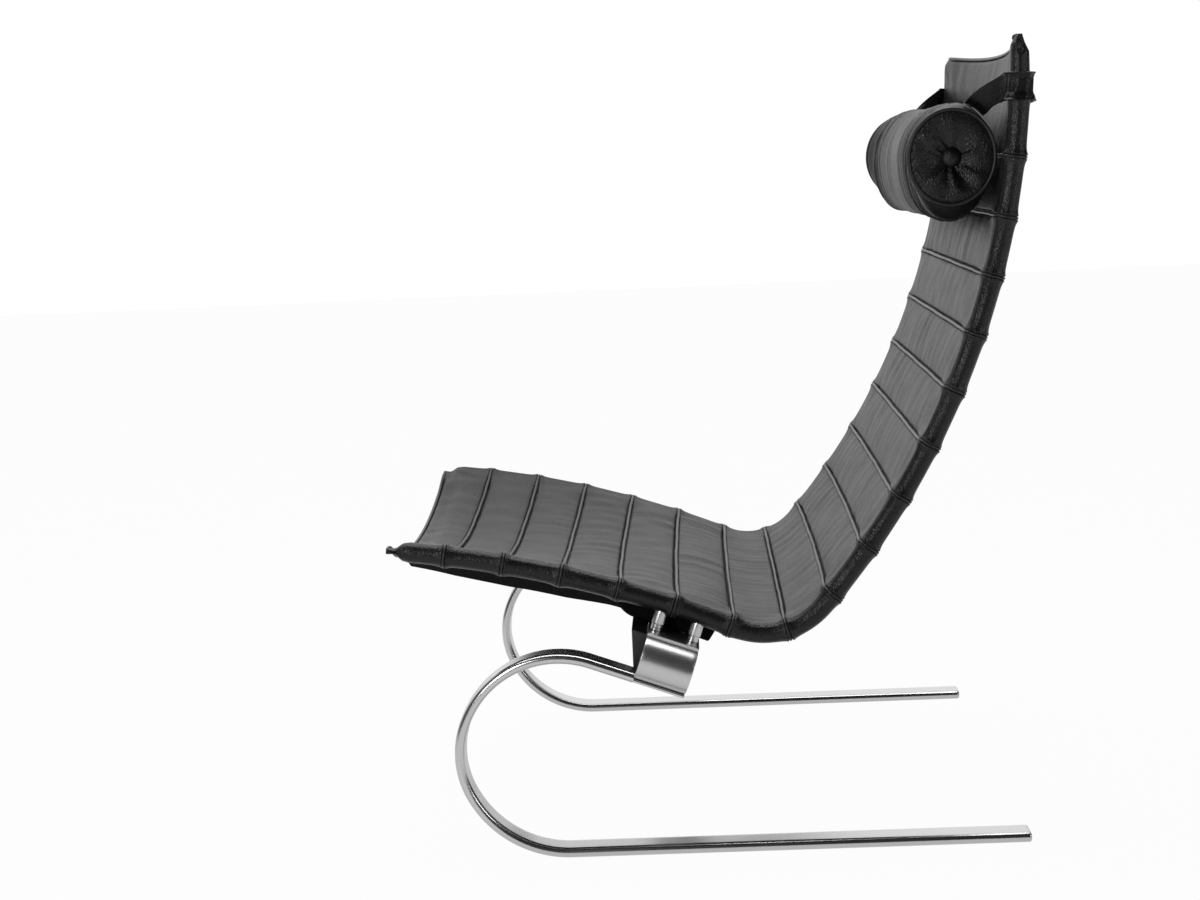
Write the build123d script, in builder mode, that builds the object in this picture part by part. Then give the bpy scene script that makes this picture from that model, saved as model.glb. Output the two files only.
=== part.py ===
from build123d import *
import math
import os

os.makedirs("parts", exist_ok=True)

# Cantilever lounge chair. Millimetres, +Z up. The floor is Z = 0, the sitter
# faces -X, and Y = 0 is the middle of the chair, with the sitter's left at -Y.

# ---------------------------------------------------------------- side frame
# The side tube's centre line, seen from the side: three tangent arcs that run
# from the front tip along the seat, round the bend and up the back.
TUBE_SPACING = 704.0
TUBE_D = 20.0
TUBE_WALL = 1.5
FRONT_TIP = (-401.4, 373.5)
FRONT_SLOPE = -6.0
SEAT_RADIUS = 1406.0
SEAT_LENGTH = 431.2
BEND_RADIUS = 92.3
BEND_LENGTH = 115.8
BACK_RADIUS = 985.0
BACK_LENGTH = 725.6
TUBE_SETBACK = 2.0
PLUG_HEAD = 1.8
PLUG_SHANK = 12.0

# ---------------------------------------------------------------- upholstery
CHANNELS = 18
# The channels from the first to the second of these lie round the bend, and
# the seam that ends them stands a little way up the back.
BEND_CHANNELS = (6, 8)
BACK_SEAM_RUN = 18.6
EAR_LENGTH = 20.0
SEAM_GAP = 0.3
LAYER_GAP = 0.15
FIT = 0.3
CORD_D = 4.0
CORD_SEAT = 0.25
SLEEVE_WAIST = TUBE_D / 2 + 1.0
SLEEVE_CROWN = TUBE_D / 2 + 3.2
SLEEVE_BORE = 0.15
SLEEVE_SHARES = (0.0, 0.25, 0.5, 0.75, 1.0)
PANEL_SEAM_THICKNESS = 12.0
PANEL_CROWN_TOP = 3.5
PANEL_CROWN_BACK = 2.5
LEATHER = 2.2
BACKING = 2.0
# How far each seam hangs below the tube's centre at the middle of the sling,
# from the front hem to the top hem.
SEAM_SAG = (30.0, 32.0, 28.0, 18.0, 8.0, -4.0, -9.0, -8.0, -7.0, -8.0,
            -10.0, -12.0, -12.0, -12.0, -12.0, -8.0, 1.0, 9.0, 15.0)
EAR_HALF_WIDTH = 12.0
EAR_HALF_THICKNESS = 3.0
# How far past the hem each section of the nose stands, and its upper and
# lower depths below the leather's top at the hem.
NOSE_SECTIONS = ((SEAM_GAP / 2, 0.0, 13.0), (8.0, 0.8, 14.5), (14.0, 3.0, 12.0), (17.5, 6.0, 10.0))
CORD_WRAP = 205.0
HEM_WRAP = 50.0
# The hem's edge is cut to a bow: it starts this far from the tips at the
# tubes, and stands further back by the bow in the middle.
HEM_TIP = 2.0
HEM_BOW = 14.0

COVER_THICKNESS = 2.5
COVER_REAR = 372.0
COVER_SHOULDER = TUBE_SPACING / 2 - 82.0
COVER_EDGE_IN = SLEEVE_WAIST + 0.8
COVER_EDGE_DROP = 8.5
# Place along the tube, drop of the cover's shoulders and drop of its middle.
COVER_STATIONS = ((23.0, 30.0, 54.0), (80.0, 36.0, 59.0), (150.0, 40.0, 58.0), (225.0, 39.0, 50.0),
                  (280.0, 35.5, 38.0), (COVER_REAR, 35.0, 38.0))

END_RAIL_D = 12.0
END_RAIL_PLACE = 36.0

# -------------------------------------------------------------------- spring
# The leg is one bent flat bar: a floor run, three arcs and a short run that
# slopes down and back to the bracket.
BAR_WIDTH = 42.0
BAR_THICKNESS = 12.0
LEG_OUTSET = 48.0
LEG_REAR = 355.4
FLOOR_RUN_FRONT = -191.5
LEG_ARCS = ((132.4, 62.4), (108.3, 50.2), (119.8, 87.7))
TOP_RUN = 54.4
END_ROUND = 3.0

# ------------------------------------------------------------------- bracket
BRACKET_LENGTH = 64.0
BRACKET_THICKNESS = 4.0
BRACKET_RADIUS = 26.5
BRACKET_CENTRE = TUBE_SPACING / 2 + 33.5
TONGUE_THICKNESS = 4.5
TONGUE_WIDTH = 30.0
TONGUE_MIDDLE = TUBE_SPACING / 2 + 27.0
FLANGE_INNER_LOW = TUBE_SPACING / 2 - 12.0
FLANGE_INNER_TOP = TUBE_SPACING / 2 - 36.0
PLATE_THICKNESS = 3.8
PLATE_OUTER = TUBE_SPACING / 2 + 34.0
EDGE_SHARE = 0.4
STANDOFF_PLACES = (9.0, 55.0)
COLLAR_D = 13.0
COLLAR_HEIGHT = 8.0
BOSS_D = 15.5
SCREW_D = 6.0
SCREW_HEAD_D = 11.0
COUNTERSINK = 45.0
SCREW_SHORT = 1.0
BOLT_PLACES = (16.0, 48.0)
BOLT_ACROSS = TUBE_SPACING / 2 + 21.0
BOLT_HEAD = 3.0
BOLT_SHOW = 1.0
NUT_ACROSS = 10.0
NUT_HEIGHT = 4.8
RAIL_SCREW_ACROSS = TUBE_SPACING / 2 - 4.0

RAIL_HALF_LENGTH = TUBE_SPACING / 2 + 5.5
RAIL_WALL = 2.5
RAIL_CAP = 3.0
RAIL_FRONT = -110.5
RAIL_REAR = -51.5

# ------------------------------------------------------------------ headrest
ROLL_FROM_TOP = 149.2
ROLL_HALF_LENGTH = TUBE_SPACING / 2 - 36.0
ROLL_HALF_DEPTH = 48.5
ROLL_HALF_HEIGHT = 56.5
ROLL_COVER = 2.0
ROLL_CORD_D = 4.4
ROLL_CORD_SINK = 1.0
ROLL_CORD_GAP = 0.2
DISC_THICKNESS = 7.7
TUFT_RADIUS = 60.0
TUFT_DEPTH = 5.0
BUTTON_D = 22.0
BUTTON_THICKNESS = 5.0
BUTTON_GAP = 0.2
STRAP_FROM_TOP = 60.6
STRAP_WIDTH = 33.0
STRAP_THICKNESS = 1.6
STRAP_END_WIDTH = 22.0
STRAP_END_ANGLE = 118.0
STRAP_TAB_INSET = 4.0
STRAP_ROOM = 0.5
STRAP_BACK_ROOM = 1.0

# ------------------------------------------------------- worked-out geometry
TUBE_R = TUBE_D / 2
HALF = TUBE_SPACING / 2
CORD_R = CORD_D / 2
CORD_RING = SLEEVE_WAIST + CORD_SEAT + CORD_R
SIDE_ARCS = ((-SEAT_RADIUS, SEAT_LENGTH), (BEND_RADIUS, BEND_LENGTH), (BACK_RADIUS, BACK_LENGTH))
SIDE_LENGTH = SEAT_LENGTH + BEND_LENGTH + BACK_LENGTH
BACK_SEAM = BEND_CHANNELS[1]
BACK_SEAM_PLACE = SEAT_LENGTH + BEND_LENGTH + BACK_SEAM_RUN
FRONT_PITCH = BACK_SEAM_PLACE / BACK_SEAM
BACK_PITCH = (SIDE_LENGTH - BACK_SEAM_PLACE) / (CHANNELS - BACK_SEAM)
TUBE_ENDS = (EAR_LENGTH + TUBE_SETBACK, SIDE_LENGTH - EAR_LENGTH - TUBE_SETBACK)
ROLL_PLACE = SIDE_LENGTH - ROLL_FROM_TOP
STRAP_PLACE = SIDE_LENGTH - STRAP_FROM_TOP
PANEL_HALF = HALF - SLEEVE_CROWN - FIT


def side_at(place):
    """Point and direction of the side tube's centre line at a length along it."""
    x, z = FRONT_TIP
    angle = math.radians(FRONT_SLOPE)
    left = place
    for radius, length in SIDE_ARCS:
        step = min(left, length)
        turned = angle + step / radius
        x += radius * (math.sin(turned) - math.sin(angle))
        z -= radius * (math.cos(turned) - math.cos(angle))
        angle = turned
        left -= step
        if left <= 0:
            break
    return x, z, angle


def side_point(place, rise=0.0):
    """Point in the XZ plane, a height above the side tube's centre line."""
    x, z, angle = side_at(place)
    return x - rise * math.sin(angle), z + rise * math.cos(angle)


def side_spans(first, last):
    """The centre line from first to last as arcs of start, middle and end."""
    spans = []
    start = 0.0
    for radius, length in SIDE_ARCS:
        low = max(first, start)
        high = min(last, start + length)
        if high - low > 0.01:
            spans.append([side_point(low), side_point((low + high) / 2), side_point(high)])
        start += length
    return spans


def station(place):
    """Plane square to the side tube: local x is across the chair, local y is up from the sling."""
    x, z, angle = side_at(place)
    return Plane(origin=(x, 0, z), x_dir=(0, 1, 0), z_dir=(math.cos(angle), 0, math.sin(angle)))


def side_plane(across):
    """Upright plane along the chair, at a distance across it."""
    return Plane(origin=(0, across, 0), x_dir=(1, 0, 0), z_dir=(0, -1, 0))


def seam_place(seam):
    """Length along the tube of a seam; the two hems stand in from the tips."""
    place = seam * FRONT_PITCH
    if seam > BACK_SEAM:
        place = BACK_SEAM_PLACE + (seam - BACK_SEAM) * BACK_PITCH
    return min(max(place, EAR_LENGTH), SIDE_LENGTH - EAR_LENGTH)


def seam_number(place):
    """Which seam a place along the tube is at, counted with its fraction."""
    if place < BACK_SEAM_PLACE:
        return place / FRONT_PITCH
    return BACK_SEAM + (place - BACK_SEAM_PLACE) / BACK_PITCH


def seam_arc(place):
    """Radius and centre height of the arc that the seam cord follows across the sling."""
    seam = seam_number(place)
    low = min(int(seam), CHANNELS - 1)
    sag = SEAM_SAG[low] + (SEAM_SAG[low + 1] - SEAM_SAG[low]) * (seam - low)
    radius = (HALF ** 2 + sag ** 2 - CORD_RING ** 2) / (2 * (sag + CORD_RING))
    return radius, radius - sag


def sling_height(place, across, below):
    """Height over the tube's centre of a layer that lies below the seam cord's arc."""
    radius, centre = seam_arc(place)
    return centre - math.sqrt((radius + below) ** 2 - across ** 2)


def band_outline(place, half_width, upper, lower):
    """Outline of a layer of the sling between two depths below the cord's arc."""
    ends = [sling_height(place, half_width, depth) for depth in (upper, lower)]
    middles = [sling_height(place, 0, depth) for depth in (upper, lower)]
    ThreePointArc((-half_width, ends[0]), (0, middles[0]), (half_width, ends[0]))
    Line((half_width, ends[0]), (half_width, ends[1]))
    ThreePointArc((half_width, ends[1]), (0, middles[1]), (-half_width, ends[1]))
    Line((-half_width, ends[1]), (-half_width, ends[0]))


def channel_sections(channel):
    """Places of a channel's three sections and how far each is crowned, 0 to 1."""
    first = seam_place(channel) + SEAM_GAP / 2
    last = seam_place(channel + 1) - SEAM_GAP / 2
    return (first, 0.0), ((first + last) / 2, 1.0), (last, 0.0)


def panel_depths(crown):
    """Upper and lower depths below the cord's arc of the leather, the foam and the backing."""
    top = CORD_R + CORD_SEAT - PANEL_CROWN_TOP * crown
    bottom = CORD_R + CORD_SEAT + PANEL_SEAM_THICKNESS + PANEL_CROWN_BACK * crown
    foam = (top + LEATHER + LAYER_GAP, bottom - BACKING - LAYER_GAP)
    return (top, top + LEATHER), foam, (bottom - BACKING, bottom)


def crown_at(place):
    """How far the channel is crowned at a place inside it."""
    channel = min(int(seam_number(place)), CHANNELS - 1)
    first = seam_place(channel)
    share = (place - first) / (seam_place(channel + 1) - first)
    return 4 * share * (1 - share)


def end_rail_depth(place):
    """Depth of the end rails, in the middle of the foam that they run through."""
    foam_top, foam_bottom = panel_depths(crown_at(place))[1]
    return (foam_top + foam_bottom) / 2


def finish_piece(piece, label):
    """Name a finished piece and write it out."""
    piece.label = label
    export_step(piece, f"parts/{label}.step")


END_RAIL_PLACES = (END_RAIL_PLACE, SIDE_LENGTH - END_RAIL_PLACE)


def end_rail_arc(place):
    """Centre line of a bowed end rail, from one tube's centre to the other's."""
    depth = end_rail_depth(place)
    end_height = sling_height(place, HALF, depth)
    ThreePointArc((-HALF, end_height), (0, sling_height(place, 0, depth)), (HALF, end_height))


# ------------------------------------------------------- bracket's own frame
# Origin at the bar's nose, local x down the slope, local y square to it.
LEG_MIDDLE = HALF + LEG_OUTSET - BAR_WIDTH / 2
LEG_HEADING = math.radians(180.0 - sum(turn for radius, turn in LEG_ARCS))


def leg_spans():
    """Start, middle and end of each bend of the bar, and the nose where it ends."""
    x, z = FLOOR_RUN_FRONT, BAR_THICKNESS / 2
    heading = math.pi
    spans = []
    for radius, turn in LEG_ARCS:
        points = []
        for part in (0.0, 0.5, 1.0):
            now = heading - math.radians(turn) * part
            points.append((x - radius * (math.sin(now) - math.sin(heading)),
                           z + radius * (math.cos(now) - math.cos(heading))))
        spans.append(points)
        x, z = points[2]
        heading -= math.radians(turn)
    return spans, (x + TOP_RUN * math.cos(heading), z + TOP_RUN * math.sin(heading))


LEG_BENDS, NOSE = leg_spans()
SLOPE_X = math.cos(LEG_HEADING)
SLOPE_Z = math.sin(LEG_HEADING)


def bracket_plane(across):
    """Upright plane along the bracket: local x down the slope, local y up from it."""
    return Plane(origin=(NOSE[0], across, NOSE[1]), x_dir=(SLOPE_X, 0, SLOPE_Z), z_dir=(0, -1, 0))


def bracket_end(along):
    """Plane square to the slope: local x across the chair, local y up from the bar."""
    origin = (NOSE[0] + along * SLOPE_X, 0, NOSE[1] + along * SLOPE_Z)
    return Plane(origin=origin, x_dir=(0, 1, 0), z_dir=(SLOPE_X, 0, SLOPE_Z))


def bracket_top(height):
    """Plane that lies along the slope at a height: local x down the slope, local y across."""
    origin = (NOSE[0] - height * SLOPE_Z, 0, NOSE[1] + height * SLOPE_X)
    return Plane(origin=origin, x_dir=(SLOPE_X, 0, SLOPE_Z), z_dir=(-SLOPE_Z, 0, SLOPE_X))


def slope_point(x, height):
    """Point of the XZ plane that has this X and this height over the slope."""
    along = (x - NOSE[0] + height * SLOPE_Z) / SLOPE_X
    return x, NOSE[1] + along * SLOPE_Z + height * SLOPE_X


def tube_height(along):
    """Height of the side tube's centre line over the slope, at a place along the bracket."""
    foot = (NOSE[0] + along * SLOPE_X, NOSE[1] + along * SLOPE_Z)
    low, high = 0.0, SEAT_LENGTH
    for _ in range(50):
        middle = (low + high) / 2
        x, z = side_point(middle)
        if (x - foot[0]) * SLOPE_X + (z - foot[1]) * SLOPE_Z < 0:
            low = middle
        else:
            high = middle
    return (x - foot[0]) * -SLOPE_Z + (z - foot[1]) * SLOPE_X


TONGUE_LOW = -BAR_THICKNESS / 2
TONGUE_TOP = TONGUE_LOW + TONGUE_THICKNESS
BRACKET_TOP = TONGUE_TOP + 2 * BRACKET_RADIUS
BRACKET_MIDDLE = (TONGUE_TOP + BRACKET_TOP) / 2
PLATE_TOP = BRACKET_TOP + PLATE_THICKNESS
RAIL_LOW = TONGUE_TOP + BRACKET_THICKNESS
RAIL_TOP = BRACKET_TOP - BRACKET_THICKNESS

# ---------------------------------------------------------------- side tubes
with BuildPart() as side_tube_left:
    with BuildLine(side_plane(-HALF)) as tube_line:
        for start, middle, end in side_spans(*TUBE_ENDS):
            ThreePointArc(start, middle, end)
    with BuildSketch(Plane(origin=tube_line.line @ 0, z_dir=tube_line.line % 0)):
        Circle(TUBE_R)
        Circle(TUBE_R - TUBE_WALL, mode=Mode.SUBTRACT)
    sweep()
finish_piece(side_tube_left.part, "side_tube_left")

with BuildPart() as side_tube_right:
    mirror(side_tube_left.part, about=Plane.XZ)
finish_piece(side_tube_right.part, "side_tube_right")

# A turned plug closes each end of both tubes.
with BuildPart() as tube_plugs:
    for place, inward in zip(TUBE_ENDS, (1, -1)):
        with BuildSketch(station(place)):
            with Locations((-HALF, 0), (HALF, 0)):
                Circle(TUBE_R)
        extrude(amount=-inward * PLUG_HEAD)
        with BuildSketch(station(place)):
            with Locations((-HALF, 0), (HALF, 0)):
                Circle(TUBE_R - TUBE_WALL - SLEEVE_BORE)
        extrude(amount=inward * PLUG_SHANK)
finish_piece(tube_plugs.part, "tube_plugs")

# --------------------------------------------------------------- leg springs
with BuildPart() as leg_spring_left:
    with BuildLine(side_plane(-LEG_MIDDLE)) as bar_line:
        Line((LEG_REAR, BAR_THICKNESS / 2), (FLOOR_RUN_FRONT, BAR_THICKNESS / 2))
        for start, middle, end in LEG_BENDS:
            ThreePointArc(start, middle, end)
        Line(LEG_BENDS[-1][2], NOSE)
    with BuildSketch(Plane(origin=bar_line.line @ 0, x_dir=(0, 1, 0), z_dir=bar_line.line % 0)):
        SlotOverall(BAR_WIDTH, BAR_THICKNESS)
    sweep()
    rear_end = leg_spring_left.faces().sort_by(Axis.X)[-1]
    fillet(rear_end.edges(), END_ROUND)
    with BuildSketch(bracket_plane(-TONGUE_MIDDLE + TONGUE_WIDTH / 2)):
        with Locations((-BAR_THICKNESS, TONGUE_LOW)):
            Rectangle(BRACKET_LENGTH + BAR_THICKNESS, TONGUE_THICKNESS, align=(Align.MIN, Align.MIN))
    extrude(amount=TONGUE_WIDTH)
    with BuildSketch(bracket_top(TONGUE_LOW)):
        with Locations(*[(place, -BOLT_ACROSS) for place in BOLT_PLACES]):
            Circle(SCREW_D / 2 + SLEEVE_BORE)
    extrude(amount=TONGUE_THICKNESS, mode=Mode.SUBTRACT)
finish_piece(leg_spring_left.part, "leg_spring_left")

with BuildPart() as leg_spring_right:
    mirror(leg_spring_left.part, about=Plane.XZ)
finish_piece(leg_spring_right.part, "leg_spring_right")

# ------------------------------------------------------------------ brackets
# A bent strip whose web bulges outwards between a lower flange, which lies on
# the bar's tongue, and an upper flange under the mounting plate.
with BuildPart() as bracket_left:
    with BuildSketch(bracket_end(0)):
        with BuildLine():
            Line((-FLANGE_INNER_LOW, TONGUE_TOP), (-BRACKET_CENTRE, TONGUE_TOP))
            ThreePointArc((-BRACKET_CENTRE, TONGUE_TOP),
                          (-BRACKET_CENTRE - BRACKET_RADIUS, BRACKET_MIDDLE),
                          (-BRACKET_CENTRE, BRACKET_TOP))
            Line((-BRACKET_CENTRE, BRACKET_TOP), (-FLANGE_INNER_TOP, BRACKET_TOP))
            Line((-FLANGE_INNER_TOP, BRACKET_TOP), (-FLANGE_INNER_TOP, RAIL_TOP))
            Line((-FLANGE_INNER_TOP, RAIL_TOP), (-BRACKET_CENTRE, RAIL_TOP))
            ThreePointArc((-BRACKET_CENTRE, RAIL_TOP),
                          (-BRACKET_CENTRE - BRACKET_RADIUS + BRACKET_THICKNESS, BRACKET_MIDDLE),
                          (-BRACKET_CENTRE, RAIL_LOW))
            Line((-BRACKET_CENTRE, RAIL_LOW), (-FLANGE_INNER_LOW, RAIL_LOW))
            Line((-FLANGE_INNER_LOW, RAIL_LOW), (-FLANGE_INNER_LOW, TONGUE_TOP))
        make_face()
    extrude(amount=BRACKET_LENGTH)
    with BuildSketch(bracket_top(TONGUE_TOP)):
        with Locations(*[(place, -BOLT_ACROSS) for place in BOLT_PLACES]):
            Circle(SCREW_D / 2 + SLEEVE_BORE)
        with Locations(*[(place, -RAIL_SCREW_ACROSS) for place in BOLT_PLACES]):
            Circle(SCREW_D / 2 + SLEEVE_BORE)
    extrude(amount=BRACKET_THICKNESS, mode=Mode.SUBTRACT)
    with Locations(bracket_top(RAIL_TOP)):
        with Locations(*[Pos(place, -HALF, 0) * Rot(180, 0, 0) for place in STANDOFF_PLACES]):
            CounterSinkHole(SCREW_D / 2 + SLEEVE_BORE, SCREW_HEAD_D / 2 + SLEEVE_BORE, depth=BRACKET_THICKNESS)
finish_piece(bracket_left.part, "bracket_left")

with BuildPart() as bracket_right:
    mirror(bracket_left.part, about=Plane.XZ)
finish_piece(bracket_right.part, "bracket_right")

# The flat plate on the upper flange, under the side tube.
with BuildPart() as mounting_plate_left:
    with BuildSketch(bracket_top(BRACKET_TOP)):
        with Locations((0, -PLATE_OUTER)):
            Rectangle(BRACKET_LENGTH, PLATE_OUTER - FLANGE_INNER_TOP, align=(Align.MIN, Align.MIN))
        with Locations(*[(place, -HALF) for place in STANDOFF_PLACES]):
            Circle(SCREW_D / 2 + SLEEVE_BORE, mode=Mode.SUBTRACT)
    extrude(amount=PLATE_THICKNESS)
    plate_front = mounting_plate_left.faces().sort_by(Axis.X)[0]
    fillet(plate_front.edges().filter_by(Axis.Y), PLATE_THICKNESS * EDGE_SHARE)
finish_piece(mounting_plate_left.part, "mounting_plate_left")

with BuildPart() as mounting_plate_right:
    mirror(mounting_plate_left.part, about=Plane.XZ)
finish_piece(mounting_plate_right.part, "mounting_plate_right")

# Two standoffs on each side carry the tube: a collar on the plate and a boss
# that is hollowed to fit the tube.
BOSS_FOOT = PLATE_TOP + COLLAR_HEIGHT
STANDOFF_SPOTS = [(place, across) for place in STANDOFF_PLACES for across in (-HALF, HALF)]
with BuildPart() as standoff_collars:
    with BuildSketch(bracket_top(PLATE_TOP)):
        with Locations(*STANDOFF_SPOTS):
            Circle(COLLAR_D / 2)
            Circle(SCREW_D / 2 + SLEEVE_BORE, mode=Mode.SUBTRACT)
    extrude(amount=COLLAR_HEIGHT)
finish_piece(standoff_collars.part, "standoff_collars")

with BuildPart() as standoff_bosses:
    with BuildSketch(bracket_top(BOSS_FOOT)):
        with Locations(*STANDOFF_SPOTS):
            Circle(BOSS_D / 2)
            Circle(SCREW_D / 2 + SLEEVE_BORE, mode=Mode.SUBTRACT)
    extrude(amount=tube_height(STANDOFF_PLACES[0]) - BOSS_FOOT)
    for side in (-1, 1):
        with BuildLine(side_plane(side * HALF)) as tube_line:
            for start, middle, end in side_spans(FRONT_PITCH, SEAT_LENGTH):
                ThreePointArc(start, middle, end)
        with BuildSketch(Plane(origin=tube_line.line @ 0, z_dir=tube_line.line % 0)):
            Circle(TUBE_R)
        sweep(mode=Mode.SUBTRACT)
finish_piece(standoff_bosses.part, "standoff_bosses")

# Countersunk screws come up through flange, plate, collar and boss.
with BuildPart() as standoff_screws:
    with BuildSketch(bracket_top(RAIL_TOP + SLEEVE_BORE)):
        with Locations(*STANDOFF_SPOTS):
            Circle(SCREW_HEAD_D / 2 - SLEEVE_BORE)
    extrude(amount=(SCREW_HEAD_D - SCREW_D) / 2, taper=COUNTERSINK)
    with BuildSketch(bracket_top(RAIL_TOP + SLEEVE_BORE)):
        with Locations(*STANDOFF_SPOTS):
            Circle(SCREW_D / 2)
    extrude(amount=tube_height(STANDOFF_PLACES[0]) - TUBE_R - SCREW_SHORT - RAIL_TOP)
finish_piece(standoff_screws.part, "standoff_screws")

# Bolts and nuts hold each bracket to its leg's tongue.
BOLT_SPOTS = [(place, across) for place in BOLT_PLACES for across in (-BOLT_ACROSS, BOLT_ACROSS)]
with BuildPart() as tongue_bolts:
    with BuildSketch(bracket_top(TONGUE_LOW)):
        with Locations(*BOLT_SPOTS):
            Circle(SCREW_HEAD_D / 2)
    extrude(amount=-BOLT_HEAD)
    with BuildSketch(bracket_top(TONGUE_LOW)):
        with Locations(*BOLT_SPOTS):
            Circle(SCREW_D / 2)
    extrude(amount=TONGUE_THICKNESS + BRACKET_THICKNESS + NUT_HEIGHT + BOLT_SHOW)
finish_piece(tongue_bolts.part, "tongue_bolts")

with BuildPart() as tongue_nuts:
    with BuildSketch(bracket_top(RAIL_LOW)):
        with Locations(*BOLT_SPOTS):
            RegularPolygon(NUT_ACROSS / 2, 6, major_radius=False)
            Circle(SCREW_D / 2, mode=Mode.SUBTRACT)
    extrude(amount=NUT_HEIGHT)
finish_piece(tongue_nuts.part, "tongue_nuts")

# ---------------------------------------------------------------- cross rail
# A closed box rail between the two brackets, with a plate over each end.
RAIL_CORNERS = [slope_point(x, height) for x, height in
                ((RAIL_FRONT, RAIL_LOW), (RAIL_REAR, RAIL_LOW), (RAIL_REAR, RAIL_TOP), (RAIL_FRONT, RAIL_TOP))]
RAIL_SCREW_SPOTS = [(place, across) for place in BOLT_PLACES
                    for across in (-RAIL_SCREW_ACROSS, RAIL_SCREW_ACROSS)]
with BuildPart() as cross_rail:
    with BuildSketch(side_plane(RAIL_HALF_LENGTH - RAIL_CAP)):
        Polygon(*RAIL_CORNERS, align=None)
        offset(amount=-RAIL_WALL, mode=Mode.SUBTRACT)
    extrude(amount=2 * (RAIL_HALF_LENGTH - RAIL_CAP))
    with BuildSketch(bracket_top(RAIL_LOW)):
        with Locations(*RAIL_SCREW_SPOTS):
            Circle(SCREW_D / 2 + SLEEVE_BORE)
    extrude(amount=2 * RAIL_WALL, mode=Mode.SUBTRACT)
finish_piece(cross_rail.part, "cross_rail")

with BuildPart() as cross_rail_caps:
    for outer in (RAIL_HALF_LENGTH, -RAIL_HALF_LENGTH + RAIL_CAP):
        with BuildSketch(side_plane(outer)):
            Polygon(*RAIL_CORNERS, align=None)
        extrude(amount=RAIL_CAP)
finish_piece(cross_rail_caps.part, "cross_rail_caps")

with BuildPart() as rail_screws:
    with BuildSketch(bracket_top(TONGUE_TOP)):
        with Locations(*RAIL_SCREW_SPOTS):
            Circle(SCREW_HEAD_D / 2)
    extrude(amount=-BOLT_HEAD)
    with BuildSketch(bracket_top(TONGUE_TOP)):
        with Locations(*RAIL_SCREW_SPOTS):
            Circle(SCREW_D / 2)
    extrude(amount=BRACKET_THICKNESS + RAIL_WALL + NUT_HEIGHT)
finish_piece(rail_screws.part, "rail_screws")

# ----------------------------------------------------------------- end rails
# Bowed rods hold the tubes apart inside the first and last channels.
for label, place in (("front_rail", END_RAIL_PLACES[0]), ("top_rail", END_RAIL_PLACES[1])):
    with BuildPart() as end_rail:
        with BuildLine(station(place)) as rail_line:
            end_rail_arc(place)
        with BuildSketch(Plane(origin=rail_line.line @ 0, z_dir=rail_line.line % 0)):
            Circle(END_RAIL_D / 2)
        sweep()
        with BuildSketch(station(place)):
            with Locations((-HALF, 0), (HALF, 0)):
                Circle(TUBE_R + SLEEVE_BORE)
        extrude(amount=END_RAIL_D, both=True, mode=Mode.SUBTRACT)
        stubs = end_rail.solids().sort_by(SortBy.VOLUME)[:-1]
        for stub in stubs:
            add(stub, mode=Mode.SUBTRACT)
    finish_piece(end_rail.part, label)

# ------------------------------------------------------------- side sleeves
# One sewn tube of leather for each channel, drawn in under the seam cords,
# with a pinched ear past the hem at each end.
with BuildPart() as side_sleeve_left:
    for channel in range(CHANNELS):
        (first, _), _, (last, _) = channel_sections(channel)
        for share in SLEEVE_SHARES:
            radius = SLEEVE_WAIST + (SLEEVE_CROWN - SLEEVE_WAIST) * math.sin(math.pi * share)
            with BuildSketch(station(first + (last - first) * share)):
                with Locations((-HALF, 0)):
                    Circle(radius)
        loft()
    with BuildLine(side_plane(-HALF)) as tube_line:
        for start, middle, end in side_spans(EAR_LENGTH, SIDE_LENGTH - EAR_LENGTH):
            ThreePointArc(start, middle, end)
    with BuildSketch(Plane(origin=tube_line.line @ 0, z_dir=tube_line.line % 0)):
        Circle(TUBE_R + SLEEVE_BORE)
    sweep(mode=Mode.SUBTRACT)
    for hem, tip in ((EAR_LENGTH, 0.0), (SIDE_LENGTH - EAR_LENGTH, SIDE_LENGTH)):
        inset = math.copysign(SEAM_GAP / 2, tip - hem)
        with BuildSketch(station(hem + inset)):
            with Locations((-HALF, 0)):
                Ellipse(SLEEVE_WAIST, SLEEVE_WAIST - CORD_SEAT)
        with BuildSketch(station((hem + tip) / 2)):
            with Locations((-HALF, 0)):
                Ellipse(EAR_HALF_WIDTH, 2 * EAR_HALF_THICKNESS)
        with BuildSketch(station(tip)):
            with Locations((-HALF, 0)):
                Ellipse(EAR_HALF_WIDTH, EAR_HALF_THICKNESS)
        loft()
    with BuildSketch(bracket_top(BOSS_FOOT)):
        with Locations(*[(place, -HALF) for place in STANDOFF_PLACES]):
            Circle(BOSS_D / 2 + FIT)
    extrude(amount=tube_height(STANDOFF_PLACES[0]) - BOSS_FOOT, mode=Mode.SUBTRACT)
    for place in END_RAIL_PLACES:
        with BuildLine(station(place)) as rail_line:
            end_rail_arc(place)
        with BuildSketch(Plane(origin=rail_line.line @ 0, z_dir=rail_line.line % 0)):
            Circle(END_RAIL_D / 2 + FIT)
        sweep(mode=Mode.SUBTRACT)
finish_piece(side_sleeve_left.part, "side_sleeve_left")

with BuildPart() as side_sleeve_right:
    mirror(side_sleeve_left.part, about=Plane.XZ)
finish_piece(side_sleeve_right.part, "side_sleeve_right")

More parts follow.
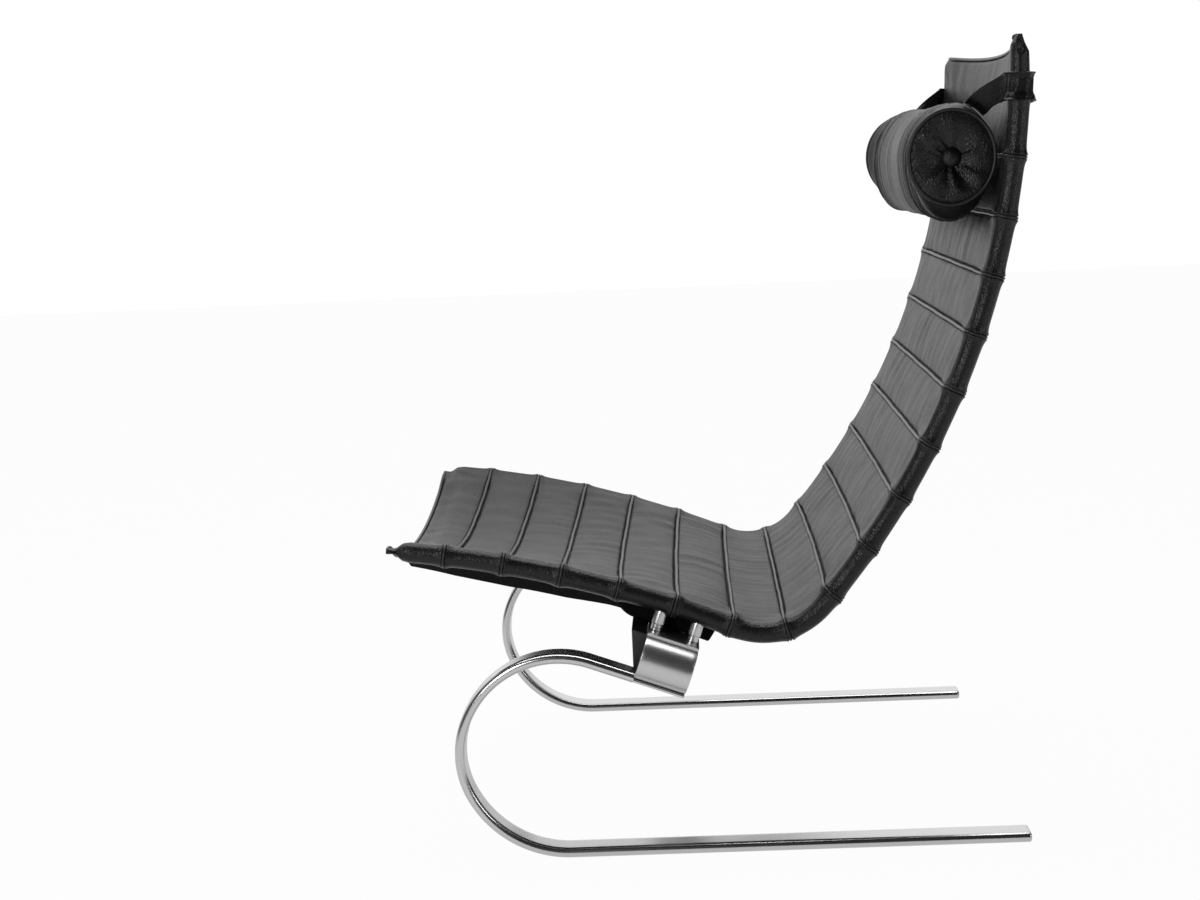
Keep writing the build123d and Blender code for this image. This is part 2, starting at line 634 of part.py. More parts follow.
# -------------------------------------------------------------- sling panels
# Every channel is a layer of leather, foam and backing, crowned between its
# seams. The leather is in three groups: seat, bend and back.
LAYERS = (("seat_cover_panels", 0, 0, BEND_CHANNELS[0]),
          ("bend_cover_panels", 0, BEND_CHANNELS[0], BEND_CHANNELS[1]),
          ("back_cover_panels", 0, BEND_CHANNELS[1], CHANNELS),
          ("channel_foam", 1, 0, CHANNELS),
          ("backing_panels", 2, 0, CHANNELS))
for label, layer, first_channel, last_channel in LAYERS:
    with BuildPart() as sling_layer:
        for channel in range(first_channel, last_channel):
            for place, crown in channel_sections(channel):
                upper, lower = panel_depths(crown)[layer]
                with BuildSketch(station(place)):
                    with BuildLine():
                        band_outline(place, PANEL_HALF, upper, lower)
                    make_face()
            loft()
        if label == "channel_foam":
            for place in END_RAIL_PLACES:
                with BuildLine(station(place)) as rail_line:
                    end_rail_arc(place)
                with BuildSketch(Plane(origin=rail_line.line @ 0, z_dir=rail_line.line % 0)):
                    Circle(END_RAIL_D / 2 + SLEEVE_BORE)
                sweep(mode=Mode.SUBTRACT)
    finish_piece(sling_layer.part, label)

# The soft nose past each hem cord, between the ears, cut to the hem's bow.
for label, hem, outward in (("front_nose", EAR_LENGTH, -1), ("top_nose", SIDE_LENGTH - EAR_LENGTH, 1)):
    with BuildPart() as nose:
        for ahead, drop, lower in NOSE_SECTIONS:
            seam_depth = CORD_R + CORD_SEAT
            place = hem + outward * ahead
            with BuildSketch(station(place)):
                with BuildLine():
                    band_outline(place, PANEL_HALF, seam_depth + drop, seam_depth + lower)
                make_face()
        loft()
        x, z, angle = side_at(hem + outward * EAR_LENGTH)
        inward = (-outward * math.cos(angle), 0, -outward * math.sin(angle))
        with BuildSketch(Plane(origin=(x, 0, z), x_dir=inward, z_dir=(-math.sin(angle), 0, math.cos(angle)))):
            with BuildLine():
                ThreePointArc((HEM_TIP, -HALF), (HEM_TIP + HEM_BOW, 0), (HEM_TIP, HALF))
                Line((HEM_TIP, HALF), (-HEM_BOW, HALF))
                Line((-HEM_BOW, HALF), (-HEM_BOW, -HALF))
                Line((-HEM_BOW, -HALF), (HEM_TIP, -HALF))
            make_face()
        extrude(amount=HALF / 2, both=True, mode=Mode.SUBTRACT)
    finish_piece(nose.part, label)

# ---------------------------------------------------------------- seam cords
# Each seam cord runs across its seam and most of the way round both sleeves;
# the hem cords end on the sleeves' shoulders.
def cord_path(place, wrap):
    """Arc across the sling and an arc round each tube, end to end."""
    radius, centre = seam_arc(place)
    tilt = math.atan2(HALF, centre)
    touch = (HALF - CORD_RING * math.sin(tilt), CORD_RING * math.cos(tilt))
    points = [(-touch[0], touch[1]), (0, centre - radius), touch]
    wraps = []
    for part in (0.5, 1.0):
        turn = math.radians(90 + math.degrees(tilt) - wrap * part)
        wraps.append((HALF + CORD_RING * math.cos(turn), CORD_RING * math.sin(turn)))
    ThreePointArc((-wraps[1][0], wraps[1][1]), (-wraps[0][0], wraps[0][1]), points[0])
    ThreePointArc(*points)
    ThreePointArc(points[2], wraps[0], wraps[1])


for label, seams, wrap in (("seam_cords", range(1, CHANNELS), CORD_WRAP),
                           ("hem_cords", (0, CHANNELS), HEM_WRAP)):
    with BuildPart() as cords:
        for seam in seams:
            with BuildLine(station(seam_place(seam))) as cord_line:
                cord_path(seam_place(seam), wrap)
            with BuildSketch(Plane(origin=cord_line.line @ 0, z_dir=cord_line.line % 0)):
                Circle(CORD_R)
            sweep()
    finish_piece(cords.part, label)

# ----------------------------------------------------------- underside cover
# Black cloth slung under the seat from tube to tube, over the cross rail.
COVER_EDGE = (HALF - COVER_EDGE_IN, -COVER_EDGE_DROP)
with BuildPart() as underside_cover:
    for place, shoulder, middle in COVER_STATIONS:
        with BuildSketch(station(place)):
            with BuildLine():
                for drop, turn in ((0.0, 1), (COVER_THICKNESS, -1)):
                    edge = (turn * COVER_EDGE[0], COVER_EDGE[1] - drop)
                    corner = (turn * COVER_SHOULDER, -shoulder - drop)
                    Line((-edge[0], edge[1]), (-corner[0], corner[1]))
                    ThreePointArc((-corner[0], corner[1]), (0, -middle - drop), corner)
                    Line(corner, edge)
                Line((COVER_EDGE[0], COVER_EDGE[1]), (COVER_EDGE[0], COVER_EDGE[1] - COVER_THICKNESS))
                Line((-COVER_EDGE[0], COVER_EDGE[1]), (-COVER_EDGE[0], COVER_EDGE[1] - COVER_THICKNESS))
            make_face()
    loft(ruled=True)
finish_piece(underside_cover.part, "underside_cover")

# ------------------------------------------------------------------ headrest
# A neck roll whose ends are oval discs. It lies on the back's cords, and its
# strap goes round both tubes and behind the back, so it slides up and down.
ROLL_CORD_R = ROLL_CORD_D / 2
ROLL_RISE = CORD_RING + CORD_R + FIT + ROLL_HALF_DEPTH + ROLL_CORD_R - ROLL_CORD_SINK
ROLL_X, ROLL_Z = side_point(ROLL_PLACE, ROLL_RISE)
ROLL_TURN = side_at(ROLL_PLACE)[2]
ROLL_DIR = (math.cos(ROLL_TURN), 0, math.sin(ROLL_TURN))


def roll_plane(across):
    """Plane square to the roll: local x up along the back, local y away from it."""
    return Plane(origin=(ROLL_X, across, ROLL_Z), x_dir=ROLL_DIR, z_dir=(0, -1, 0))


with BuildPart() as headrest_cover:
    with BuildSketch(roll_plane(ROLL_HALF_LENGTH)):
        Ellipse(ROLL_HALF_HEIGHT, ROLL_HALF_DEPTH)
        Ellipse(ROLL_HALF_HEIGHT - ROLL_COVER, ROLL_HALF_DEPTH - ROLL_COVER, mode=Mode.SUBTRACT)
    extrude(amount=2 * ROLL_HALF_LENGTH)
finish_piece(headrest_cover.part, "headrest_cover")

CORE_HALF = ROLL_HALF_LENGTH - DISC_THICKNESS - FIT
with BuildPart() as headrest_core:
    with BuildSketch(roll_plane(CORE_HALF)):
        Ellipse(ROLL_HALF_HEIGHT - ROLL_COVER - SLEEVE_BORE, ROLL_HALF_DEPTH - ROLL_COVER - SLEEVE_BORE)
    extrude(amount=2 * CORE_HALF)
finish_piece(headrest_core.part, "headrest_core")

with BuildPart() as headrest_end_discs:
    for outer in (ROLL_HALF_LENGTH, -ROLL_HALF_LENGTH + DISC_THICKNESS):
        with BuildSketch(roll_plane(outer)):
            Ellipse(ROLL_HALF_HEIGHT - ROLL_COVER - SLEEVE_BORE, ROLL_HALF_DEPTH - ROLL_COVER - SLEEVE_BORE)
        extrude(amount=DISC_THICKNESS)
    for side in (-1, 1):
        with Locations((ROLL_X, side * (ROLL_HALF_LENGTH + TUFT_RADIUS - TUFT_DEPTH), ROLL_Z)):
            Sphere(TUFT_RADIUS, mode=Mode.SUBTRACT)
finish_piece(headrest_end_discs.part, "headrest_end_discs")

with BuildPart() as headrest_buttons:
    for side in (-1, 1):
        base = ROLL_HALF_LENGTH - TUFT_DEPTH + BUTTON_D ** 2 / 8 / TUFT_RADIUS + BUTTON_GAP
        with BuildSketch(Plane(origin=(ROLL_X, side * base, ROLL_Z), z_dir=(0, side, 0))):
            Circle(BUTTON_D / 2)
        extrude(amount=BUTTON_THICKNESS)
    rims = headrest_buttons.faces().sort_by(Axis.Y)
    fillet(rims[0].edges() + rims[-1].edges(), BUTTON_THICKNESS * EDGE_SHARE)
finish_piece(headrest_buttons.part, "headrest_buttons")

with BuildPart() as headrest_piping:
    for side in (-1, 1):
        middle = side * (ROLL_HALF_LENGTH + ROLL_CORD_R + ROLL_CORD_GAP)
        with BuildLine(roll_plane(middle)) as ring_line:
            EllipticalCenterArc((0, 0), ROLL_HALF_HEIGHT - ROLL_CORD_SINK,
                                ROLL_HALF_DEPTH - ROLL_CORD_SINK, 0, arc_size=360)
        with BuildSketch(Plane(origin=ring_line.line @ 0, z_dir=ring_line.line % 0)):
            Circle(ROLL_CORD_R)
        sweep()
finish_piece(headrest_piping.part, "headrest_piping")

# The strap's band, which bows behind the sagging back, its two loops, and the
# tabs sewn to the roll.
STRAP_BOW = SEAM_SAG[-1] + CORD_R + CORD_SEAT + PANEL_SEAM_THICKNESS + PANEL_CROWN_BACK + STRAP_BACK_ROOM
LOOP_INNER = CORD_RING + CORD_R + STRAP_ROOM
LOOP_OUTER = LOOP_INNER + STRAP_THICKNESS
STRAP_MID = LOOP_INNER + STRAP_THICKNESS / 2
STRAP_TURN = side_at(STRAP_PLACE)[2]
with BuildPart() as headrest_strap:
    with BuildSketch(station(STRAP_PLACE)):
        for radius, mode in ((LOOP_OUTER, Mode.ADD), (LOOP_INNER, Mode.SUBTRACT)):
            with Locations((-HALF, 0), (HALF, 0)):
                Circle(radius, mode=mode)
        Rectangle(2 * HALF, 4 * LOOP_OUTER, mode=Mode.SUBTRACT)
        with BuildLine():
            ThreePointArc((-HALF, -LOOP_INNER), (0, -STRAP_BOW), (HALF, -LOOP_INNER))
            Line((HALF, -LOOP_INNER), (HALF, -LOOP_OUTER))
            ThreePointArc((HALF, -LOOP_OUTER), (0, -STRAP_BOW - STRAP_THICKNESS), (-HALF, -LOOP_OUTER))
            Line((-HALF, -LOOP_OUTER), (-HALF, -LOOP_INNER))
        make_face()
        for side in (-1, 1):
            with Locations((side * (HALF - STRAP_TAB_INSET), STRAP_MID)):
                Rectangle(2 * STRAP_TAB_INSET, STRAP_THICKNESS)
    extrude(amount=STRAP_WIDTH / 2, both=True)
    end_turn = math.radians(STRAP_END_ANGLE)
    end_up = ROLL_HALF_HEIGHT * math.sin(end_turn)
    end_out = ROLL_HALF_DEPTH * math.cos(end_turn)
    lean = math.atan2(-ROLL_HALF_DEPTH * math.sin(end_turn), ROLL_HALF_HEIGHT * math.cos(end_turn))
    lift = FIT + STRAP_THICKNESS / 2
    for side in (-1, 1):
        tab_start = side * (HALF - 2 * STRAP_TAB_INSET)
        x, z = side_point(STRAP_PLACE, STRAP_MID)
        strap_dir = (math.cos(STRAP_TURN), 0, math.sin(STRAP_TURN))
        with BuildSketch(Plane(origin=(x, tab_start, z), x_dir=strap_dir, z_dir=(0, -1, 0))):
            Rectangle(STRAP_WIDTH, STRAP_THICKNESS)
        with BuildSketch(roll_plane(side * (ROLL_HALF_LENGTH - STRAP_END_WIDTH / 4))):
            with Locations((end_up + lift * math.sin(end_turn), end_out + lift * math.cos(end_turn))):
                Rectangle(STRAP_END_WIDTH, STRAP_THICKNESS, rotation=math.degrees(lean))
        loft()
finish_piece(headrest_strap.part, "headrest_strap")

BACK_CENTRE = side_point(SIDE_LENGTH, BACK_RADIUS)
print("slide of the headrest turns about", [round(value, 2) for value in BACK_CENTRE])
print("roll centre", round(ROLL_X, 2), round(ROLL_Z, 2))
print("nose of the bar", [round(value, 2) for value in NOSE], "tube height", round(tube_height(32), 2))
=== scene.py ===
import math
import bpy
import numpy as np
from mathutils import Matrix


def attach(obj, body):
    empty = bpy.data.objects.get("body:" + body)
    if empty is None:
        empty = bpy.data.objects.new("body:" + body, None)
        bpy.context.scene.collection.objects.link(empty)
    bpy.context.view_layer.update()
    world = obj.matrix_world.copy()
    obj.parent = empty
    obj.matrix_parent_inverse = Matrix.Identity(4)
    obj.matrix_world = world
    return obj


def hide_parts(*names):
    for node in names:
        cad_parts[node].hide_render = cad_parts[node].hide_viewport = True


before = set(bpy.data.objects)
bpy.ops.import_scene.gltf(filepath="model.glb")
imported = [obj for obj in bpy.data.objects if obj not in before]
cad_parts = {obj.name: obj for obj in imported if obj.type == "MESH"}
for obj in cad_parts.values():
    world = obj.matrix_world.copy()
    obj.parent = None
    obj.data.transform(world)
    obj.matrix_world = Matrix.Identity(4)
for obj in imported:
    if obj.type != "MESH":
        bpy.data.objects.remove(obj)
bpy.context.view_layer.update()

# A low cantilever lounge chair: a channelled leather sling on two bent tubes,
# carried by two bent flat bars, with a strapped neck roll. Shapes are worked
# out in millimetres and turned into metres when a mesh is made.

# ----------------------------------------------------- side tubes and end rails
# Two drawn steel tubes run from the front ears to the top ears, with a moulded
# plug in each end, and two bowed rods hold them apart. All of it is inside the
# leather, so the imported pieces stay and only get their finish.
HALF = 352.0
TUBE_R = 10.0
FRONT_TIP = (-401.4, 373.5)
FRONT_SLOPE = math.radians(-6.0)
SIDE_ARCS = ((-1406.0, 431.2), (92.3, 115.8), (985.0, 725.6))
SIDE_LENGTH = sum(length for radius, length in SIDE_ARCS)


def side_at(place):
    """Point and direction of the side tube's centre line at lengths along it."""
    left = np.array(place, float)
    x = np.full(left.shape, FRONT_TIP[0])
    z = np.full(left.shape, FRONT_TIP[1])
    angle = np.full(left.shape, FRONT_SLOPE)
    for radius, length in SIDE_ARCS:
        step = np.clip(left, 0, length)
        turned = angle + step / radius
        x = x + radius * (np.sin(turned) - np.sin(angle))
        z = z - radius * (np.cos(turned) - np.cos(angle))
        angle = turned
        left = left - step
    return x, z, angle


def points_of(x, y, z):
    """Points from three coordinates of matching shapes."""
    return np.stack(np.broadcast_arrays(x, y, z), -1)


def on_sling(place, across, rise):
    """Points at lengths along the tubes, across the chair and up from the tubes' centres."""
    x, z, angle = side_at(place)
    return points_of(x - rise * np.sin(angle), across, z + rise * np.cos(angle))


def node(tree, kind, links=None, **settings):
    """Add a shader or geometry node; links gives its inputs as sockets or plain values."""
    made = tree.nodes.new(kind)
    for key, value in settings.items():
        setattr(made, key, value)
    for key, value in (links or {}).items():
        if isinstance(value, bpy.types.NodeSocket):
            tree.links.new(value, made.inputs[key])
        else:
            made.inputs[key].default_value = value
    return made


def maths(tree, operation, *values):
    return node(tree, "ShaderNodeMath", dict(enumerate(values)), operation=operation).outputs[0]


def noise(tree, vector, scale, detail=2.0):
    return node(tree, "ShaderNodeTexNoise", {"Vector": vector, "Scale": scale, "Detail": detail}).outputs[0]


def ramp(tree, value, low, high, first=0.0, last=1.0):
    """Map a value from one range to another, held at its ends."""
    made = node(tree, "ShaderNodeMapRange", {0: value, 1: low, 2: high, 3: first, 4: last})
    return made.outputs[0]


def blend_colours(tree, share, first, second):
    """Mix two colours; the first may be a socket."""
    first = first if isinstance(first, bpy.types.NodeSocket) else (*first, 1)
    made = node(tree, "ShaderNodeMix", {0: share, 6: first, 7: (*second, 1)}, data_type="RGBA")
    return made.outputs[2]


def effect(name, inputs, outputs):
    """An empty shader node group with named inputs and outputs."""
    tree = bpy.data.node_groups.new(name, "ShaderNodeTree")
    for label, value in inputs.items():
        kind = "NodeSocketVector" if value is None else "NodeSocketFloat"
        socket = tree.interface.new_socket(name=label, in_out="INPUT", socket_type=kind)
        if value is not None:
            socket.default_value = value
    for label in outputs:
        tree.interface.new_socket(name=label, in_out="OUTPUT", socket_type="NodeSocketFloat")
    return tree, node(tree, "NodeGroupInput").outputs


def use(tree, group, links):
    return node(tree, "ShaderNodeGroup", links, node_tree=group).outputs


def finish_of(name, roughness, metallic=0.0, **constants):
    """A material with its Principled shader; constants go straight on the shader's sockets."""
    made = bpy.data.materials.new(name)
    made.use_nodes = True
    tree = made.node_tree
    shader = tree.nodes["Principled BSDF"]
    shader.inputs["Roughness"].default_value = roughness
    shader.inputs["Metallic"].default_value = metallic
    for key, value in constants.items():
        shader.inputs[key.replace("_", " ")].default_value = value
    return made, tree, shader.inputs


def bump(tree, inputs, height, strength, distance):
    made = node(tree, "ShaderNodeBump", {"Strength": strength, "Distance": distance, "Height": height})
    tree.links.new(made.outputs[0], inputs["Normal"])


def mixed_finish(name, roughness, texture, first, second, strength, distance):
    """A material whose two colours are mixed, and whose relief is raised, by one texture."""
    made, tree, inputs = finish_of(name, roughness)
    height = texture(tree)
    tree.links.new(blend_colours(tree, height, first, second), inputs["Base Color"])
    bump(tree, inputs, height, strength, distance)
    return made


def object_place(tree):
    return node(tree, "ShaderNodeTexCoord").outputs["Object"]


def own_run(tree):
    """The piece's own attribute: metres along it, across it and through it."""
    return node(tree, "ShaderNodeAttribute", attribute_name="run").outputs["Vector"]


BRUSHING, brush_in = effect("brushing", {"Vector": None, "Grit": 900.0}, ("Height", "Smear"))
stretched = node(BRUSHING, "ShaderNodeVectorMath", {0: brush_in["Vector"], 1: (0.012, 1.0, 1.0)},
                 operation="MULTIPLY")
scratches = noise(BRUSHING, stretched.outputs[0], brush_in["Grit"], 3.0)
cloudy = noise(BRUSHING, brush_in["Vector"], 22.0, 4.0)
smear = maths(BRUSHING, "MULTIPLY_ADD", scratches, 0.5, maths(BRUSHING, "MULTIPLY", cloudy, 0.5))
node(BRUSHING, "NodeGroupOutput", {"Height": scratches, "Smear": smear})

EDGE_WEAR, wear_in = effect("edge_wear", {"Vector": None, "Reach": 0.06}, ("Mask",))
corner = node(EDGE_WEAR, "ShaderNodeNewGeometry").outputs["Pointiness"]
patchy = noise(EDGE_WEAR, wear_in["Vector"], 160.0, 5.0)
worn = ramp(EDGE_WEAR, corner, 0.5, maths(EDGE_WEAR, "ADD", 0.5, wear_in["Reach"]))
node(EDGE_WEAR, "NodeGroupOutput", {"Mask": maths(EDGE_WEAR, "MULTIPLY", worn, patchy)})


def steel(name, colour, roughness, grit, depth, along_run=False):
    """Bare steel with fine brushing, along the piece's own run where it has one."""
    made, tree, inputs = finish_of(name, roughness, 1.0)
    place = own_run(tree) if along_run else object_place(tree)
    lines = use(tree, BRUSHING, {"Vector": place, "Grit": grit})
    wear = use(tree, EDGE_WEAR, {"Vector": place, "Reach": 0.08})
    pale = tuple(part * 1.03 for part in colour)
    toned = blend_colours(tree, ramp(tree, lines["Smear"], 0.3, 0.7), colour, pale)
    tree.links.new(toned, inputs["Base Color"])
    rough = ramp(tree, lines["Smear"], 0.25, 0.75, roughness * 0.9, roughness * 1.12)
    smoothed = maths(tree, "MULTIPLY", wear["Mask"], 0.02)
    tree.links.new(maths(tree, "SUBTRACT", rough, smoothed), inputs["Roughness"])
    bump(tree, inputs, lines["Height"], depth, 0.00002)
    return made


def give(names, material):
    """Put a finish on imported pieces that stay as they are."""
    for name in names:
        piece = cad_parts[name]
        if not piece.material_slots:
            piece.data.materials.append(material)
        for place in piece.material_slots:
            place.material = material


BARE_STEEL = steel("bare_steel", (0.42, 0.42, 0.43), 0.38, 500.0, 0.3)
give(("side_tube_left", "side_tube_right", "front_rail", "top_rail"), BARE_STEEL)

BLACK_PLASTIC = mixed_finish("black_plastic", 0.5, lambda tree: noise(tree, object_place(tree), 1800.0, 3.0),
                             (0.016, 0.016, 0.017), (0.03, 0.03, 0.031), 0.3, 0.0001)
give(("tube_plugs",), BLACK_PLASTIC)

# ----------------------------------------------------------------- channel foam
# A block of cut upholstery foam fills each of the eighteen channels, between
# the leather and the lining. It is crowned like the channel and ends short of
# the tubes.
MM = 0.001
CHANNELS = 18
PITCH = SIDE_LENGTH / CHANNELS
SEAM_SAG = (30, 32, 28, 18, 8, -4, -9, -8, -7, -8, -10, -12, -12, -12, -12, -8, 1, 9, 15)
CORD_RING = 13.25
LEATHER = 2.2
PAD_HALF = 338.0
PAD_DEPTH = 14.25
FOAM_SHORT = 3
CROWN_TOP = 3.5
CROWN_BACK = 2.5
FRONT_HEM = (3.4, 1.8)
TOP_HEM = (2.6, 13.0)
SEAM_FLAT = 2.25
SEAM_GAP = 0.15
EDGE_SPREAD = 1.04
dice = np.random.default_rng(41)


def smooth(value):
    """Soft step from 0 to 1."""
    value = np.clip(value, 0, 1)
    return value * value * (3 - 2 * value)


def hump(off, wide):
    """Bell curve of height 1 round zero."""
    return np.exp(-(off / wide) ** 2)


def sling_arc(place):
    """Radius and centre height of the seam cord's arc across the sling."""
    sag = np.interp(np.asarray(place) / PITCH, range(CHANNELS + 1), SEAM_SAG)
    radius = (HALF ** 2 + sag ** 2 - CORD_RING ** 2) / (2 * (sag + CORD_RING))
    return radius, radius - sag


def sling_rise(place, across, depth):
    """Height over the tubes' centres of a surface this deep below the cord's arc."""
    radius, centre = sling_arc(place)
    return centre - np.sqrt((radius + depth) ** 2 - across ** 2)


def channel_ends(channel, across):
    """Where a channel starts and ends along the tubes; the hems are cut to a bow."""
    tip, bow = FRONT_HEM if channel == 0 else TOP_HEM
    hem = tip + bow * (1 - (across / HALF) ** 2)
    start = hem if channel == 0 else channel * PITCH + SEAM_GAP
    end = SIDE_LENGTH - hem if channel == CHANNELS - 1 else (channel + 1) * PITCH - SEAM_GAP
    return start, end


def crown(share):
    """How full a channel is from one seam to the next, 0 to 1."""
    return 1 - np.abs(2 * share - 1) ** 2.6


SLEEVE_PLAIN = 12.4
flares = 3.0 * dice.uniform(0.8, 1.12, (CHANNELS + 1, 2))
FRONT_EAR = ((0.0, 4.0), (3.0, 3.9), (9.0, 3.3), (12.5, 4.4), (17.0, 8.2), (20.5, 10.7), (30.0, 12.6), (40.0, 16.0))
TOP_EAR = ((0.0, 3.4), (3.0, 4.8), (7.0, 7.8), (12.0, 10.4), (20.5, 11.2), (42.0, 11.6), (56.0, 12.6), (66.0, 16.0))
TOP_EAR_BACK = ((0.0, 3.2), (3.0, 3.7), (9.0, 5.4), (15.0, 8.0), (20.5, 10.7), (42.0, 11.3), (56.0, 12.6),
                (66.0, 16.0))


def ear_half(place, top_ear):
    """Half thickness of the pinched ears: a flat stalk in front, a slim point at the top."""
    front = np.interp(place, *zip(*FRONT_EAR))
    top = np.interp(SIDE_LENGTH - place, *zip(*top_ear))
    return np.where(np.asarray(place) < SIDE_LENGTH / 2, front, top)


def sleeve_radius(place, top_ear=TOP_EAR):
    """Outer radius of the sleeve: plain between seams, flared beside each cord and drawn in under it."""
    seam = np.clip(np.round(np.asarray(place) / PITCH), 1, CHANNELS - 1).astype(int)
    off = place - seam * PITCH
    flare = np.where(off < 0, flares[seam, 0], flares[seam, 1])
    away = np.abs(off)
    radius = SLEEVE_PLAIN + flare * np.exp(-np.maximum(away - 2.4, 0) / 4.6) - 4.4 * hump(away, 1.8)
    return np.minimum(radius, ear_half(place, top_ear))


def top_depth(channel, share, across_share, length, ring):
    """How far the leather's outer face lies below the cords' arc, before it is folded."""
    away = np.minimum(share, 1 - share) * length
    depth = SEAM_FLAT - CROWN_TOP * crown(share) + 5.0 * hump(away, 2.5)
    if channel in (0, CHANNELS - 1):
        hem_away = (share if channel == 0 else 1 - share) * length
        drop = 5.5 if channel == 0 else 2.5
        dip = 4.5 if channel == 0 else 1.5
        hollow = drop * hump(hem_away, 12) + dip * hump(hem_away - 17, 10)
        depth = depth + hollow * smooth((1 - np.abs(across_share)) * 4)
    by_edge = smooth((np.abs(across_share) - 0.8) / 0.2)
    return depth * (1 - by_edge) + (CORD_RING - ring) * by_edge


def back_depth(channel, share, across, length, ring):
    """How far the lining's outer face lies below the cords' arc, before it is folded."""
    pulled_in = 1.3 * np.exp(-(np.minimum(share, 1 - share) * 22) ** 2)
    depth = PAD_DEPTH - 0.6 + (CROWN_BACK + 0.6) * crown(share) - pulled_in
    depth = depth - 1.5 * smooth((np.abs(across) / PAD_HALF - 0.95) / 0.05)
    return np.maximum(depth, top_depth(channel, share, across / HALF * EDGE_SPREAD, length, ring) + 4.9)


def shares(count):
    """Steps from 0 to 1, closer together near both ends."""
    return 0.5 - 0.5 * np.cos(np.linspace(0, math.pi, count))


def layer_shell(top, bottom):
    """A closed shell between two grids of points of the same size."""
    rows, columns = top.shape[:2]
    points = np.concatenate([top.reshape(-1, 3), bottom.reshape(-1, 3)])
    index = np.arange(rows * columns).reshape(rows, columns)
    under = index + rows * columns

    def quads(a, b, c, d):
        return np.stack([a.ravel(), b.ravel(), c.ravel(), d.ravel()], 1)

    faces = [quads(index[:-1, :-1], index[1:, :-1], index[1:, 1:], index[:-1, 1:]),
             quads(under[:-1, :-1], under[:-1, 1:], under[1:, 1:], under[1:, :-1])]
    for edge, low in ((index[0], under[0]), (index[:, -1], under[:, -1]),
                      (index[-1, ::-1], under[-1, ::-1]), (index[::-1, 0], under[::-1, 0])):
        faces.append(quads(edge[:-1], edge[1:], low[1:], low[:-1]))
    return points, np.concatenate(faces).tolist()


def volume_of(points, faces):
    total = 0.0
    for face in (np.array([f for f in faces if len(f) == size]) for size in (3, 4)):
        for k in range(1, face.shape[1] - 1 if face.ndim == 2 else 0):
            a, b, c = points[face[:, 0]], points[face[:, k]], points[face[:, k + 1]]
            total += np.einsum("ij,ij->i", a, np.cross(b, c)).sum() / 6
    return total


def in_scene(name, data):
    """A new object at the scene's origin."""
    made = bpy.data.objects.new(name, data)
    bpy.context.scene.collection.objects.link(made)
    return made


def build(name, shells, material, stands_for, body="chair", sharp=60.0, run=None):
    """One piece from closed shells of points and faces. A shell marked as a cavity faces inwards."""
    all_points, all_faces = [], []
    start = 0
    for shell in shells:
        points, faces = shell[:2]
        inwards = len(shell) > 2
        if (volume_of(points, faces) < 0) != inwards:
            faces = [face[::-1] for face in faces]
        all_points.append(points)
        all_faces += [[corner + start for corner in face] for face in faces]
        start += len(points)
    mesh = bpy.data.meshes.new(name)
    mesh.from_pydata((np.concatenate(all_points) * MM).tolist(), [], all_faces)
    mesh.polygons.foreach_set("use_smooth", [True] * len(mesh.polygons))
    if run is not None:
        mesh.attributes.new("run", "FLOAT_VECTOR", "POINT").data.foreach_set("vector", (run * MM).ravel())
    mesh.update()
    mesh.set_sharp_from_angle(angle=math.radians(sharp))
    mesh.materials.append(material)
    piece = in_scene(name, mesh)
    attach(piece, body)
    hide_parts(stands_for)
    return piece


def pad_place(channel, rows, across, inset):
    """Shares and places along a channel for a layer that ends short of a hem by the inset."""
    share = shares(rows)[:, None]
    start, end = channel_ends(channel, across)
    first = inset if channel == 0 else 0.0
    last = inset if channel == CHANNELS - 1 else 0.0
    place = start + first + (end - start - first - last) * share
    return (place - start) / (end - start), place, end - start


def foam_pores(tree):
    return node(tree, "ShaderNodeTexVoronoi", {"Vector": object_place(tree), "Scale": 900.0}).outputs[0]


FOAM = mixed_finish("foam", 0.95, foam_pores, (0.30, 0.27, 0.2), (0.62, 0.58, 0.48), 0.6, 0.0006)
foam_blocks = []
foam_across = (PAD_HALF - FOAM_SHORT) * np.linspace(-1, 1, 61)[None, :]
for channel in range(CHANNELS):
    share, place, length = pad_place(channel, 9, foam_across, 6.0)
    ring = sleeve_radius(place)
    depth = top_depth(channel, share, foam_across / HALF * EDGE_SPREAD, length, ring) + LEATHER + 1.0
    floor_depth = np.maximum(back_depth(channel, share, foam_across, length, ring) - 1.9, depth + 0.3)
    foam_blocks.append(layer_shell(*(on_sling(place, foam_across, sling_rise(place, foam_across, level))
                                     for level in (depth, floor_depth))))
channel_foam_blocks = build("channel_foam_blocks", foam_blocks, FOAM, "channel_foam", sharp=35.0)

# ------------------------------------------------------------------ leather top
# Black top-grain leather, cut and sewn into eighteen padded channels: six on
# the seat, two round the bend and ten up the back. It is drawn tight from tube
# to tube, so it carries soft folds and puckers between its piped seams.
GRAIN, grain_in = effect("leather_grain", {"Vector": None, "Cell": 620.0, "Crease": 90.0},
                         ("Height", "Hollow", "Mottle"))
stir = node(GRAIN, "ShaderNodeTexNoise", {"Vector": grain_in["Vector"], "Scale": 210.0, "Detail": 3.0})
shift = node(GRAIN, "ShaderNodeVectorMath", {0: stir.outputs["Color"], 1: (0.0022,) * 3, 2: grain_in["Vector"]},
             operation="MULTIPLY_ADD")
cells = node(GRAIN, "ShaderNodeTexVoronoi", {"Vector": shift.outputs[0], "Scale": grain_in["Cell"]},
             feature="DISTANCE_TO_EDGE").outputs[0]
cell_height = ramp(GRAIN, cells, 0.0, 0.4)
pores = noise(GRAIN, grain_in["Vector"], maths(GRAIN, "MULTIPLY", grain_in["Cell"], 3.0))
mottle = noise(GRAIN, grain_in["Vector"], 26.0, 5.0)
